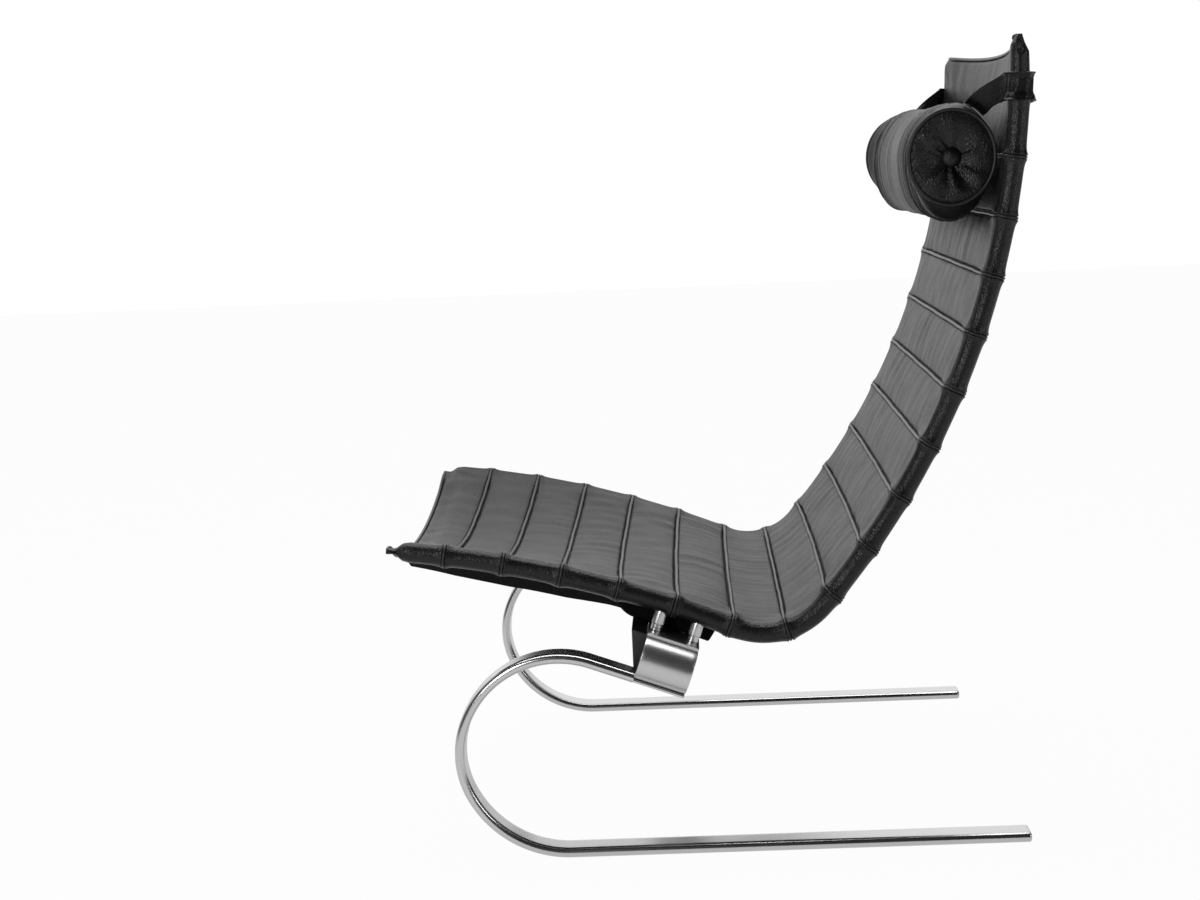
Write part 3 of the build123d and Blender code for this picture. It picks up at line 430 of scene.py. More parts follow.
creases = node(GRAIN, "ShaderNodeTexVoronoi", {"Vector": shift.outputs[0], "Scale": grain_in["Crease"]},
               feature="DISTANCE_TO_EDGE").outputs[0]
crease_cut = maths(GRAIN, "MULTIPLY", ramp(GRAIN, creases, 0.0, 0.09, 1.0, 0.0),
                   ramp(GRAIN, mottle, 0.42, 0.62))
piled = maths(GRAIN, "MULTIPLY_ADD", pores, 0.12, maths(GRAIN, "MULTIPLY", cell_height, 0.7))
node(GRAIN, "NodeGroupOutput", {
    "Height": maths(GRAIN, "SUBTRACT", piled, maths(GRAIN, "MULTIPLY", crease_cut, 0.6)),
    "Hollow": maths(GRAIN, "SUBTRACT", 1.0, cell_height), "Mottle": mottle})


def leather(name, colour, roughness, cell, crease, depth, wear=0.35, sheen=0.34):
    """Black leather: fine cells and creases, duller in its hollows, rubbed paler on its edges."""
    made, tree, inputs = finish_of(name, roughness, Specular_IOR_Level=sheen)
    place = object_place(tree)
    grain = use(tree, GRAIN, {"Vector": place, "Cell": cell, "Crease": crease})
    rubbed = use(tree, EDGE_WEAR, {"Vector": place, "Reach": 0.1})
    dark, pale, worn = (tuple(part * level for part in colour) for level in (0.7, 1.5, 2.6))
    toned = blend_colours(tree, ramp(tree, grain["Mottle"], 0.3, 0.7), dark, pale)
    toned = blend_colours(tree, maths(tree, "MULTIPLY", rubbed["Mask"], wear), toned, worn)
    tree.links.new(toned, inputs["Base Color"])
    rough = ramp(tree, grain["Mottle"], 0.3, 0.7, roughness * 0.88, roughness * 1.12)
    tree.links.new(maths(tree, "MULTIPLY_ADD", grain["Hollow"], 0.1, rough), inputs["Roughness"])
    bump(tree, inputs, grain["Height"], depth, 0.0009)
    return made


TOP_LEATHER = leather("top_leather", (0.0125, 0.0125, 0.013), 0.36, 340.0, 70.0, 0.6)


def touch(place):
    """How far across the chair the sling leaves the sleeve."""
    return HALF - sleeve_radius(place) * np.sin(np.arctan2(HALF, sling_arc(place)[1]))


FULL_WAVE = 6.283


def phase(luck):
    """A random start for a wave."""
    return luck.uniform(0, 6.28)


def folds(channel, share, across):
    """Soft folds along the channel and short puckers at its two seams."""
    luck = np.random.default_rng(700 + channel)
    out = np.zeros(np.broadcast(share, across).shape)
    for _ in range(5):
        wave, turn, drift = luck.uniform(24, 95), phase(luck), luck.normal(0, 0.9)
        size = luck.uniform(0.1, 0.34) * min(1.0, wave / 60)
        out += size * np.sin(FULL_WAVE * across / wave + turn + drift * (share - 0.5) * 2)
    near = np.exp(-share * PITCH / 9) + np.exp(-(1 - share) * PITCH / 9)
    for _ in range(5):
        wave, turn, lean = luck.uniform(9, 21), phase(luck), luck.normal(0, 1.6)
        out += 0.11 * near * np.sin(FULL_WAVE * across / wave + turn + lean * share)
    patch = 0.5 + 0.5 * np.sin(across / luck.uniform(45, 80) + phase(luck))
    return out * (0.55 + 0.75 * patch)


def leather_top(channel, share, across_share):
    """Places along, across and up of the leather's outer surface in one channel."""
    across = across_share * HALF
    for _ in range(3):
        start, end = channel_ends(channel, across)
        place = start + (end - start) * share
        across = across_share * touch(place)
    ring = sleeve_radius(place)
    away = np.minimum(share, 1 - share) * (end - start)
    depth = top_depth(channel, share, across_share, end - start, ring)
    loose = smooth((1 - np.abs(across_share)) / 0.07) * smooth(away / 3.5)
    depth = depth - folds(channel, share, across) * loose
    if channel in (0, CHANNELS - 1):
        hem_away = (share if channel == 0 else 1 - share) * (end - start)
        reach = np.hypot(HALF - np.abs(across), hem_away)
        fan = np.arctan2(hem_away, HALF - np.abs(across) + 1)
        depth = depth + 0.9 * np.sin(fan * 11) * np.exp(-reach / 55) * loose * smooth(reach / 30)
    return place, across, depth


LEATHER_ROWS = 35
LEATHER_COLUMNS = 201
leather_across = np.linspace(-1, 1, LEATHER_COLUMNS)
leather_across = (0.72 * leather_across + 0.28 * np.sin(leather_across * math.pi / 2))[None, :]
LEATHER_GROUPS = (("seat_leather", 0, 6, "seat_cover_panels"), ("bend_leather", 6, 8, "bend_cover_panels"),
                  ("back_leather", 8, 18, "back_cover_panels"))
for label, first, last, cad_name in LEATHER_GROUPS:
    panels = []
    for channel in range(first, last):
        place, across, depth = leather_top(channel, shares(LEATHER_ROWS)[:, None], leather_across)
        over = sling_rise(place, across, depth)
        ring = sleeve_radius(place)
        on_ring = np.sqrt(np.maximum(ring ** 2 - (HALF - np.abs(across)) ** 2, 0))
        on_ring = np.where(HALF - np.abs(across) < ring, on_ring, -99)
        under = np.minimum(np.maximum(sling_rise(place, across, depth + LEATHER), on_ring + 0.04), over - 0.03)
        panels.append(layer_shell(on_sling(place, across, over), on_sling(place, across, under)))
    panel = build(label, panels, TOP_LEATHER, cad_name, sharp=50.0)

# ----------------------------------------------------------------- side sleeves
# The leather goes on round each tube as a sewn sleeve, drawn in under every
# seam cord so that it stands out like a joint of bamboo on both sides of it.
# Past the hems each sleeve is pinched flat into an ear.
# The sleeves' leather is a darker copy of the top leather: painted shade for sleeves that face away from the light.
SLEEVE_LEATHER_PAINTED_SHADE = leather("sleeve_leather_painted_shade", (0.006, 0.006, 0.0065), 0.26, 340.0, 55.0, 0.42, 0.3)
SLEEVE_SIDES = 48
BORE = TUBE_R + 0.15
BORE_START = 21.9
EAR_TIP, EAR_END, EAR_ROWS = 0.4, 22.0, 10
SIDES = ((-1, "left"), (1, "right"))


def around(count):
    """Angles once round a ring."""
    return np.linspace(0, 2 * math.pi, count, endpoint=False)


def ring_sweep(rings, first_tip=None, last_tip=None):
    """A closed shell through rings of points, closed at both ends."""
    rows, sides = rings.shape[:2]
    tips = [rings[0].mean(0) if first_tip is None else first_tip,
            rings[-1].mean(0) if last_tip is None else last_tip]
    points = np.concatenate([rings.reshape(-1, 3), tips])
    index = np.arange(rows * sides).reshape(rows, sides)
    after = np.roll(index, -1, 1)
    faces = np.stack([index[:-1].ravel(), after[:-1].ravel(), after[1:].ravel(), index[1:].ravel()], 1).tolist()
    faces += [[rows * sides, b, a] for a, b in zip(index[0], after[0])]
    faces += [[rows * sides + 1, a, b] for a, b in zip(index[-1], after[-1])]
    return points, faces


channel_rows = [channel * PITCH + PITCH * shares(LEATHER_ROWS)[:-1] for channel in range(CHANNELS)]
channel_rows[0], channel_rows[-1] = channel_rows[0][EAR_ROWS:], channel_rows[-1][:-EAR_ROWS]
ear_rows = np.linspace(EAR_TIP, EAR_END, 16)
sleeve_places = np.concatenate([ear_rows, *channel_rows, SIDE_LENGTH - ear_rows])
sleeve_places = np.unique(np.round(sleeve_places, 3))[:, None]
sleeve_turn = around(SLEEVE_SIDES)[None, :]
for side, label in SIDES:
    luck = np.random.default_rng(90 + side)
    outer = np.where(np.sin(sleeve_turn) > 0, sleeve_radius(sleeve_places),
                     sleeve_radius(sleeve_places, TOP_EAR_BACK))
    seam_off = np.abs(sleeve_places - np.clip(np.round(sleeve_places / PITCH), 1, CHANNELS - 1) * PITCH)
    ruck = np.zeros((len(sleeve_places), SLEEVE_SIDES))
    for _ in range(6):
        count, turn = luck.integers(5, 14), phase(luck)
        ruck += 0.09 * np.sin(count * sleeve_turn + turn + sleeve_places / luck.uniform(18, 60))
    ruck = ruck * (0.4 + 1.6 * np.exp(-seam_off / 9)) * smooth((seam_off - 1) / 3)
    from_tip = np.minimum(sleeve_places, SIDE_LENGTH - sleeve_places)
    plain = smooth((from_tip - 18) / 6)
    outer = outer + ruck * plain
    pinched = np.interp(from_tip, (0, 3, 12, 18, 22), (5.2, 6.6, 8.4, 10.4, 10.9))
    wide = np.maximum(outer, pinched) * (1 - plain) + outer * plain
    crease = 1 - 0.3 * (1 - plain) * hump(np.sin(sleeve_turn), 0.3)
    ring_across = side * HALF + wide * crease * np.cos(sleeve_turn)
    ring_rise = outer * np.sin(sleeve_turn)
    sleeve = ring_sweep(on_sling(sleeve_places, ring_across, ring_rise))
    bore_places = np.linspace(BORE_START, SIDE_LENGTH - BORE_START, 150)[:, None]
    bore = ring_sweep(on_sling(bore_places, side * HALF + BORE * np.cos(sleeve_turn), BORE * np.sin(sleeve_turn)))
    build(f"sleeve_{label}", [sleeve, (*bore, "cavity")], SLEEVE_LEATHER_PAINTED_SHADE,
          f"side_sleeve_{label}")

# ------------------------------------------------------------------------ noses
# Past the last seam cord at the front and at the top, the leather turns down
# over the foam's end and is sewn to the lining, as a soft rolled edge that
# runs out into the ears.
NOSE_OUT = 3.4
NOSE_SINK, NOSE_LEAST = 0.4, 3.4


def squared(wave, power):
    """A wave with flatter tops, for squarer rings."""
    return np.sign(wave) * np.abs(wave) ** power


nose_turn = around(28)[None, :]
for label, channel, cad_name in (("nose_front", 0, "front_nose"), ("nose_top", CHANNELS - 1, "top_nose")):
    nose_across = np.linspace(-0.995, 0.995, 161)[:, None]
    place, across, depth = leather_top(channel, np.full_like(nose_across, float(channel > 0)), nose_across)
    thin = smooth((1 - np.abs(nose_across)) / 0.1)
    face_rise = sling_rise(place, across, depth) - NOSE_SINK
    foot_rise = np.minimum(sling_rise(place, across, PAD_DEPTH + 0.3), face_rise - NOSE_LEAST)
    foot_rise = foot_rise * thin + (face_rise - NOSE_LEAST) * (1 - thin)
    outwards = 1 if channel else -1
    round_out = squared(np.cos(nose_turn), 0.8)
    nose_place = place + outwards * (NOSE_OUT * (0.3 + 0.7 * thin) * round_out - 0.8)
    nose_rise = (face_rise + foot_rise) / 2 + (face_rise - foot_rise) / 2 * np.sin(nose_turn)
    nose_rise = nose_rise - 1.5 * (1 - smooth((1 - np.abs(nose_across)) / 0.03))
    build(label, [ring_sweep(on_sling(nose_place, across, nose_rise))], TOP_LEATHER, cad_name)

# ----------------------------------------------------------- seam and hem cords
# Every seam is piped with a thin leather-covered cord, which crosses the sling
# and goes most of the way round both sleeves. The hems have one along their
# edge. Black thread stitches hold the seams down on both sides of the cords.
# The cords' leather is paler than the top leather: a painted highlight along every cord.
PIPING_LEATHER_PAINTED_HIGHLIGHT = leather("piping_leather", (0.02, 0.02, 0.0205), 0.28, 900.0, 150.0, 0.08, 0.6)
CORD_WRAP = 205.0
CORD_SIDES = 12
CORD_R = 2.05
CORD_AFTER = 3.3
WRAP_POINTS = 34


def tube_along(line, radius, sides=CORD_SIDES, round_ends=True):
    """A closed round tube along a line of points, with rounded ends."""
    line = np.asarray(line, float)
    radius = np.broadcast_to(np.asarray(radius, float), (len(line),)).copy()
    ahead = np.gradient(line, axis=0)
    ahead /= np.linalg.norm(ahead, axis=1)[:, None]
    normal = np.cross(ahead[0], [0.31, 0.2, 0.93])
    normals = []
    for step in ahead:
        normal = normal - step * (normal @ step)
        normal /= np.linalg.norm(normal)
        normals.append(normal)
    normals = np.array(normals)
    binormals = np.cross(ahead, normals)
    turn = around(sides)
    rings = (line[:, None] + radius[:, None, None] * (np.cos(turn)[None, :, None] * normals[:, None]
                                                      + np.sin(turn)[None, :, None] * binormals[:, None]))
    if not round_ends:
        return ring_sweep(rings)
    heads, tails = [], []
    for lift in (0.95, 0.75, 0.4):
        small = math.sqrt(1 - lift ** 2)
        heads.append(line[0] - ahead[0] * radius[0] * lift + (rings[0] - line[0]) * small)
        tails.insert(0, line[-1] + ahead[-1] * radius[-1] * lift + (rings[-1] - line[-1]) * small)
    return ring_sweep(np.concatenate([np.array(heads), rings, np.array(tails)]),
                      line[0] - ahead[0] * radius[0], line[-1] + ahead[-1] * radius[-1])


def across_seam(place, ring, wrap):
    """Distances across and up of a line over the seam: round one sleeve, over the sling, round the other."""
    radius, centre = (float(value) for value in sling_arc(place))
    tilt = math.atan2(HALF, centre)
    turns = np.radians(90 + math.degrees(tilt) - np.linspace(wrap, 0, WRAP_POINTS))
    over = np.linspace(-1, 1, 121)[1:-1] * (HALF - ring * math.sin(tilt))
    rise = centre - np.sqrt((radius + CORD_RING - ring) ** 2 - over ** 2)
    across = np.concatenate([-(HALF + ring * np.cos(turns)), over, (HALF + ring * np.cos(turns))[::-1]])
    return across, np.concatenate([ring * np.sin(turns), rise, (ring * np.sin(turns))[::-1]])


cords = []
for seam in range(1, CHANNELS):
    place = seam * PITCH
    across, rise = across_seam(place, CORD_RING, CORD_WRAP)
    wander = 0.25 * np.sin(across / 37 + seam) + 0.15 * np.sin(across / 13 + 2 * seam)
    thick = np.where(np.abs(across) > HALF - 12, 1.75, CORD_R) * (1 + 0.03 * np.sin(across / 5 + seam))
    cords.append(tube_along(on_sling(place + wander, across, rise), thick))
build("seam_piping", cords, PIPING_LEATHER_PAINTED_HIGHLIGHT, "seam_cords", sharp=80.0)

hem_cords = []
for channel in (0, CHANNELS - 1):
    share = np.linspace(-0.998, 0.998, 241)
    place, across, depth = leather_top(channel, np.full_like(share, float(channel > 0)), share)
    outwards = 1 if channel else -1
    thin = 1.2 + 1.0 * smooth((1 - np.abs(share)) / 0.08)
    sink = 2.6 * (1 - smooth((1 - np.abs(share)) / 0.03))
    hem_cords.append(tube_along(on_sling(place + outwards * 1.6, across,
                                         sling_rise(place, across, depth) + 1.5 - sink), thin))
build("hem_piping", hem_cords, PIPING_LEATHER_PAINTED_HIGHLIGHT, "hem_cords", sharp=80.0)


def path_object(name, lines):
    """Poly splines through lines of points, as a path for repeated pieces."""
    curve = bpy.data.curves.new(name, "CURVE")
    curve.dimensions = "3D"
    for line in lines:
        spline = curve.splines.new("POLY")
        spline.points.add(len(line) - 1)
        spline.points.foreach_set("co", np.concatenate([line * MM, np.ones((len(line), 1))], 1).ravel())
    return in_scene(name, curve)


def geometry_tree(name, inputs):
    """A geometry node tree with named inputs, and each input's identifier."""
    tree = bpy.data.node_groups.new(name, "GeometryNodeTree")
    tree.interface.new_socket(name="Geometry", in_out="INPUT", socket_type="NodeSocketGeometry")
    known = {label: tree.interface.new_socket(name=label, in_out="INPUT", socket_type=kind).identifier
             for label, kind in inputs.items()}
    tree.interface.new_socket(name="Geometry", in_out="OUTPUT", socket_type="NodeSocketGeometry")
    return tree, known, node(tree, "NodeGroupInput").outputs


ALONG, along_keys, along_in = geometry_tree("pieces_along_path", {
    "Piece": "NodeSocketObject", "Spacing": "NodeSocketFloat", "Wobble": "NodeSocketFloat",
    "Seed": "NodeSocketInt", "Finish": "NodeSocketMaterial"})
stepped = node(ALONG, "GeometryNodeResampleCurve", {"Curve": along_in["Geometry"], "Length": along_in["Spacing"]},
               mode="LENGTH")
to_points = node(ALONG, "GeometryNodeCurveToPoints", {"Curve": stepped.outputs[0]}, mode="EVALUATED")
piece_info = node(ALONG, "GeometryNodeObjectInfo", {"Object": along_in["Piece"]})
backwards = maths(ALONG, "MULTIPLY", along_in["Wobble"], -1.0)
chance = node(ALONG, "FunctionNodeRandomValue", {2: backwards, 3: along_in["Wobble"], "Seed": along_in["Seed"]},
              data_type="FLOAT")
askew = node(ALONG, "ShaderNodeCombineXYZ", {0: chance.outputs[1], 1: chance.outputs[1]})
turned = node(ALONG, "FunctionNodeRotateRotation", {0: to_points.outputs["Rotation"], 1: askew.outputs[0]},
              rotation_space="LOCAL")
placed = node(ALONG, "GeometryNodeInstanceOnPoints",
              {"Points": to_points.outputs[0], "Instance": piece_info.outputs["Geometry"],
               "Rotation": turned.outputs[0]})
real = node(ALONG, "GeometryNodeRealizeInstances", {0: placed.outputs[0]})
finished = node(ALONG, "GeometryNodeSetMaterial", {0: real.outputs[0], "Material": along_in["Finish"]})
node(ALONG, "NodeGroupOutput", {0: finished.outputs[0]})


def plain_mesh(name, carrier, tree, keys, values):
    """Run a geometry tree on a carrier object and keep the result as a plain mesh piece."""
    modifier = carrier.modifiers.new("repeat", "NODES")
    modifier.node_group = tree
    for label, value in values.items():
        modifier[keys[label]] = value
    bpy.context.view_layer.update()
    mesh = bpy.data.meshes.new_from_object(carrier.evaluated_get(bpy.context.evaluated_depsgraph_get()))
    mesh.name = name
    carrier.modifiers.remove(modifier)
    for helper in [carrier] + [value for value in values.values() if isinstance(value, bpy.types.Object)]:
        bpy.data.objects.remove(helper)
    mesh.polygons.foreach_set("use_smooth", [True] * len(mesh.polygons))
    made = in_scene(name, mesh)
    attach(made, "chair")
    return made


def thread_twist(tree):
    links = {"Vector": object_place(tree), "Scale": 900.0, "Distortion": 1.0}
    return node(tree, "ShaderNodeTexWave", links).outputs["Fac"]


THREAD = mixed_finish("black_thread", 0.6, thread_twist, (0.01, 0.01, 0.01), (0.035, 0.035, 0.035), 0.4, 0.0001)
STITCH_STEP = 5.2
STITCH_WRAP_LESS = 12
STITCH_HALF = 1.75
stitch_line = points_of(0.0, 0.0, np.linspace(-STITCH_HALF, STITCH_HALF, 5))
stitch_shell = tube_along(stitch_line, [0.22, 0.36, 0.38, 0.36, 0.22], sides=5, round_ends=False)
stitch_mesh = bpy.data.meshes.new("stitch")
stitch_mesh.from_pydata((stitch_shell[0] * MM).tolist(), [], stitch_shell[1])
stitch = bpy.data.objects.new("stitch", stitch_mesh)
stitch_lines = []
for seam in range(1, CHANNELS):
    for off in (-CORD_AFTER, CORD_AFTER):
        channel = seam - 1 if off < 0 else seam
        start, end = channel_ends(channel, 0.0)
        share = 1 - CORD_AFTER / (end - start) if off < 0 else CORD_AFTER / (end - start)
        over = np.linspace(-0.99, 0.99, 141)
        place, across, depth = leather_top(channel, np.full_like(over, share), over)
        stitched_at = seam * PITCH + off
        ring = float(sleeve_radius(stitched_at))
        round_across, round_rise = across_seam(stitched_at, ring, CORD_WRAP - STITCH_WRAP_LESS)
        wrap = on_sling(stitched_at, round_across, round_rise)
        top = on_sling(place, across, sling_rise(place, across, depth) + 0.12)
        stitch_lines.append(np.concatenate([wrap[:WRAP_POINTS - 1], top, wrap[1 - WRAP_POINTS:]]))
plain_mesh("seam_stitches", path_object("stitch_paths", stitch_lines), ALONG, along_keys,
           {"Piece": stitch, "Spacing": STITCH_STEP * MM, "Wobble": 0.06, "Seed": 5, "Finish": THREAD})

# --------------------------------------------------- lining and underside cover
# A woven black lining closes the back of every channel. Under the seat a
# second cloth is slung from tube to tube, over the cross rail, and sewn along
# both sleeves.
WEAVE, weave_in = effect("plain_weave", {"Vector": None, "Threads": 900.0}, ("Height", "Shade"))
split = node(WEAVE, "ShaderNodeSeparateXYZ", {0: weave_in["Vector"]})
over_under = [maths(WEAVE, "SINE", maths(WEAVE, "MULTIPLY", maths(WEAVE, "MULTIPLY", split.outputs[axis], 3.1416),
                                         weave_in["Threads"])) for axis in (0, 1)]
woven = maths(WEAVE, "MULTIPLY_ADD", maths(WEAVE, "MULTIPLY", over_under[0], over_under[1]), 0.5, 0.5)
slub = noise(WEAVE, weave_in["Vector"], 300.0, 4.0)
node(WEAVE, "NodeGroupOutput", {"Height": maths(WEAVE, "MULTIPLY_ADD", slub, 0.3, woven),
                                "Shade": maths(WEAVE, "MULTIPLY", woven, slub)})

LINING, lining_tree, lining_inputs = finish_of("black_cloth", 0.9, Specular_IOR_Level=0.03)
cloth = use(lining_tree, WEAVE, {"Vector": own_run(lining_tree), "Threads": 850.0})
lining_tree.links.new(blend_colours(lining_tree, ramp(lining_tree, cloth["Shade"], 0.1, 0.5),
                                    (0.004, 0.004, 0.004), (0.014, 0.014, 0.0145)), lining_inputs["Base Color"])
bump(lining_tree, lining_inputs, cloth["Height"], 0.5, 0.0003)

LINING_THICK = 1.2
lining_shells, lining_runs = [], []
LINING_HALF = PAD_HALF + 1.6
lining_across = LINING_HALF * np.linspace(-1, 1, 121)[None, :]
for channel in range(CHANNELS):
    share, place, length = pad_place(channel, 15, lining_across, 2.0)
    pulled = 0.5 * folds(channel + 40, share, lining_across) * smooth(np.minimum(share, 1 - share) * 14)
    depth = back_depth(channel, share, lining_across, length, sleeve_radius(place)) + np.maximum(pulled, -0.5)
    grids = [on_sling(place, lining_across, sling_rise(place, lining_across, depth + lift))
             for lift in (-LINING_THICK, 0.0)]
    lining_shells.append(layer_shell(*grids))
    flat_run = points_of(place, lining_across, 0.0).reshape(-1, 3)
    lining_runs.append(np.concatenate([flat_run, flat_run]))
lining = build("channel_lining", lining_shells, LINING, "backing_panels",
               run=np.concatenate(lining_runs))

COVER_PLACES = (23.0, 80.0, 150.0, 225.0, 280.0, 372.0)
COVER_SHOULDERS = (30.0, 36.0, 40.0, 39.0, 35.5, 35.0)
COVER_MIDDLES = (54.0, 59.0, 58.0, 50.0, 38.0, 38.0)
COVER_EDGE = 340.2
COVER_SEWN = 8.5
COVER_SHOULDER = 270.0
COVER_REAR, COVER_FLAP = 390.0, 22.0
cover_across = np.linspace(-1, 1, 161)[None, :]
cover_back = COVER_REAR + COVER_FLAP * np.abs(cover_across) ** 3
cover_back = cover_back + 1.2 * np.sin(cover_across * 47) * np.abs(cover_across)
cover_place = COVER_PLACES[0] + (cover_back - COVER_PLACES[0]) * np.linspace(0, 1, 74)[:, None]


def cover_rise(place, across_share):
    """Height of the cover's upper face: straight from the sleeves to its shoulders, then a shallow curve."""
    shoulder = np.interp(place, COVER_PLACES, COVER_SHOULDERS)
    middle = np.interp(place, COVER_PLACES, COVER_MIDDLES)
    out = np.abs(across_share) * COVER_EDGE
    straight = COVER_SEWN + (shoulder - COVER_SEWN) * (COVER_EDGE - out) / (COVER_EDGE - COVER_SHOULDER)
    flap = np.interp(out, (COVER_SHOULDER, 322.0, 331.0, COVER_EDGE), (36.0, 32.0, 28.0, COVER_SEWN))
    straight = np.maximum(straight, flap * smooth((place - 250) / 60))
    bowed = middle - (middle - shoulder) * (out / COVER_SHOULDER) ** 2
    share = smooth((out - COVER_SHOULDER + 14) / 28)
    wrinkle = 0.7 * np.sin(place / 19 + 3 * np.sin(across_share * 5)) * (1 - across_share ** 2)
    return -(bowed * (1 - share) + straight * share) - wrinkle * smooth(np.abs(place - 330) / 60)


cover_grids = []
for drop in (0.0, 1.4):
    rise = cover_rise(cover_place, cover_across) - drop
    cover_grids.append(on_sling(cover_place, COVER_EDGE * cover_across, rise))
cover_flat = points_of(cover_place, COVER_EDGE * cover_across, 0.0).reshape(-1, 3)
cover = build("seat_underside_cover", [layer_shell(*cover_grids)], LINING, "underside_cover",
              run=np.concatenate([cover_flat, cover_flat]))

# ------------------------------------------------------------------ leg springs
# Each leg is one flat bar of polished spring steel, 42 by 12 mm with rounded
# edges: a run on the floor, three bends and a short run up to the bracket,
# where it is cut down to a thin tongue.
POLISHED_STEEL = steel("polished_steel", (0.62, 0.62, 0.62), 0.22, 420.0, 0.06, along_run=True)
BAR_HALF, BAR_THIN = 21.0, 6.0
LEG_MIDDLE = 379.0
LEG_REAR = 355.4
FLOOR_RUN_FRONT = -191.5
LEG_ARCS = ((132.4, 62.4), (108.3, 50.2), (119.8, 87.7))
TOP_RUN = 54.4
END_ROUND = 3.0


def leg_line():
    """Points and headings of the bar's middle line from its rear end to its nose."""
    runs = [((LEG_REAR - k, BAR_THIN), math.pi) for k in np.linspace(END_ROUND, LEG_REAR - FLOOR_RUN_FRONT, 40)]
    x, z, heading = FLOOR_RUN_FRONT, BAR_THIN, math.pi
    for radius, turn in LEG_ARCS:
        for part in np.linspace(0, 1, int(turn))[1:]:
            now = heading - math.radians(turn) * part
            runs.append(((x - radius * (math.sin(now) - math.sin(heading)),
                          z + radius * (math.cos(now) - math.cos(heading))), now))
        (x, z), heading = runs[-1]
    for k in np.linspace(0, TOP_RUN, 6)[1:]:
        runs.append(((x + k * math.cos(heading), z + k * math.sin(heading)), heading))
    return runs


def bar_section(inset):
    """Flat bar with full-round edges, drawn in on all sides by the inset."""
    half, thin = BAR_HALF - inset, BAR_THIN - inset
    turn = np.linspace(-math.pi / 2, math.pi / 2, 17)
    flat = np.linspace(-1, 1, 9)[1:-1] * (half - thin)
    bulge, edge_rise = thin * np.cos(turn), thin * np.sin(turn)
    across = np.concatenate([half - thin + bulge, -flat, -(half - thin) - bulge, flat])
    rise = np.concatenate([edge_rise, np.full(7, thin), -edge_rise, np.full(7, -thin)])
    return across, rise


LEG_LINE = leg_line()
NOSE = np.array(LEG_LINE[-1][0])
SLOPE = LEG_LINE[-1][1]


def on_slope(along, across, height):
    """Points on the bracket's slope: down it from the bar's nose, across the chair and up from the bar's middle."""
    x = NOSE[0] + along * math.cos(SLOPE) - height * math.sin(SLOPE)
    z = NOSE[1] + along * math.sin(SLOPE) + height * math.cos(SLOPE)
    return points_of(x, across, z)


TONGUE_THICK, TONGUE_HALF = 4.5, 15.0
TONGUE_LOW, TONGUE_TOP = -BAR_THIN, -BAR_THIN + TONGUE_THICK
tongue_steps = np.linspace(-6, 64, 12)
for side, label in SIDES:
    rings, runs, length = [], [], 0.0
    start = [((LEG_REAR - END_ROUND * (1 - math.sin(lift)), BAR_THIN), math.pi, END_ROUND * (1 - math.cos(lift)))
             for lift in np.linspace(math.pi / 2, 0.0, 7)]
    line = start + [(point, heading, 0.0) for point, heading in LEG_LINE[1:]]
    line.append((line[-1][0] + np.array([math.cos(SLOPE), math.sin(SLOPE)]) * 0.5, SLOPE, 0.6))
    before = line[0][0]
    for point, heading, inset in line:
        across, rise = bar_section(inset)
        x = point[0] - rise * math.sin(heading)
        z = point[1] + rise * math.cos(heading)
        length += math.dist(point, before)
        before = point
        rings.append(points_of(x, side * LEG_MIDDLE + across, z))
        runs.append(points_of(length, across, rise))
    bar = ring_sweep(np.array(rings))
    bar_run = np.concatenate([np.concatenate(runs), [[0, 0, 0], [length, 0, 0]]])
    turn = around(24)
    tongue_across = side * LEG_MIDDLE + TONGUE_HALF * squared(np.cos(turn), 0.16)
    tongue_rise = (TONGUE_LOW + TONGUE_TOP) / 2 + TONGUE_THICK / 2 * squared(np.sin(turn), 0.3)
    tongue = ring_sweep(np.array([on_slope(along, tongue_across, tongue_rise) for along in tongue_steps]))
    tongue_run = np.concatenate([points_of(length + along, tongue_across, tongue_rise) for along in tongue_steps]
                                + [[[0, 0, 0], [0, 0, 0]]])
    build(f"leg_bar_{label}", [bar, tongue], POLISHED_STEEL, f"leg_spring_{label}",
          sharp=40.0, run=np.concatenate([bar_run, tongue_run]))

# --------------------------------------------------- brackets and their fixings
# A strip of satin steel is bent into an outward C between the bar's tongue and
# the plate under the tube. Turned collars and bosses stand on the plate and
# carry the tube, all held with screws and bolts.
SATIN_STEEL = steel("satin_steel", (0.6, 0.6, 0.6), 0.32, 1300.0, 0.1)
FASTENER_STEEL = steel("fastener_steel", (0.48, 0.48, 0.47), 0.32, 800.0, 0.2)
BRACKET_LENGTH = 64.0
BRACKET_R, BRACKET_THICK = 26.5, 4.0
BRACKET_CENTRE = 385.5
LOW_FLANGE, TOP_FLANGE = [340.0, 355.0, 370.0], [365.0, 340.0, 316.0]
PLATE_THICK = 3.8
COLLAR_HEIGHT = 8.0
PLATE_TOP = TONGUE_TOP + 2 * BRACKET_R + PLATE_THICK
STANDOFFS = (9.0, 55.0)
web_turn = np.linspace(-math.pi / 2, math.pi / 2, 41)
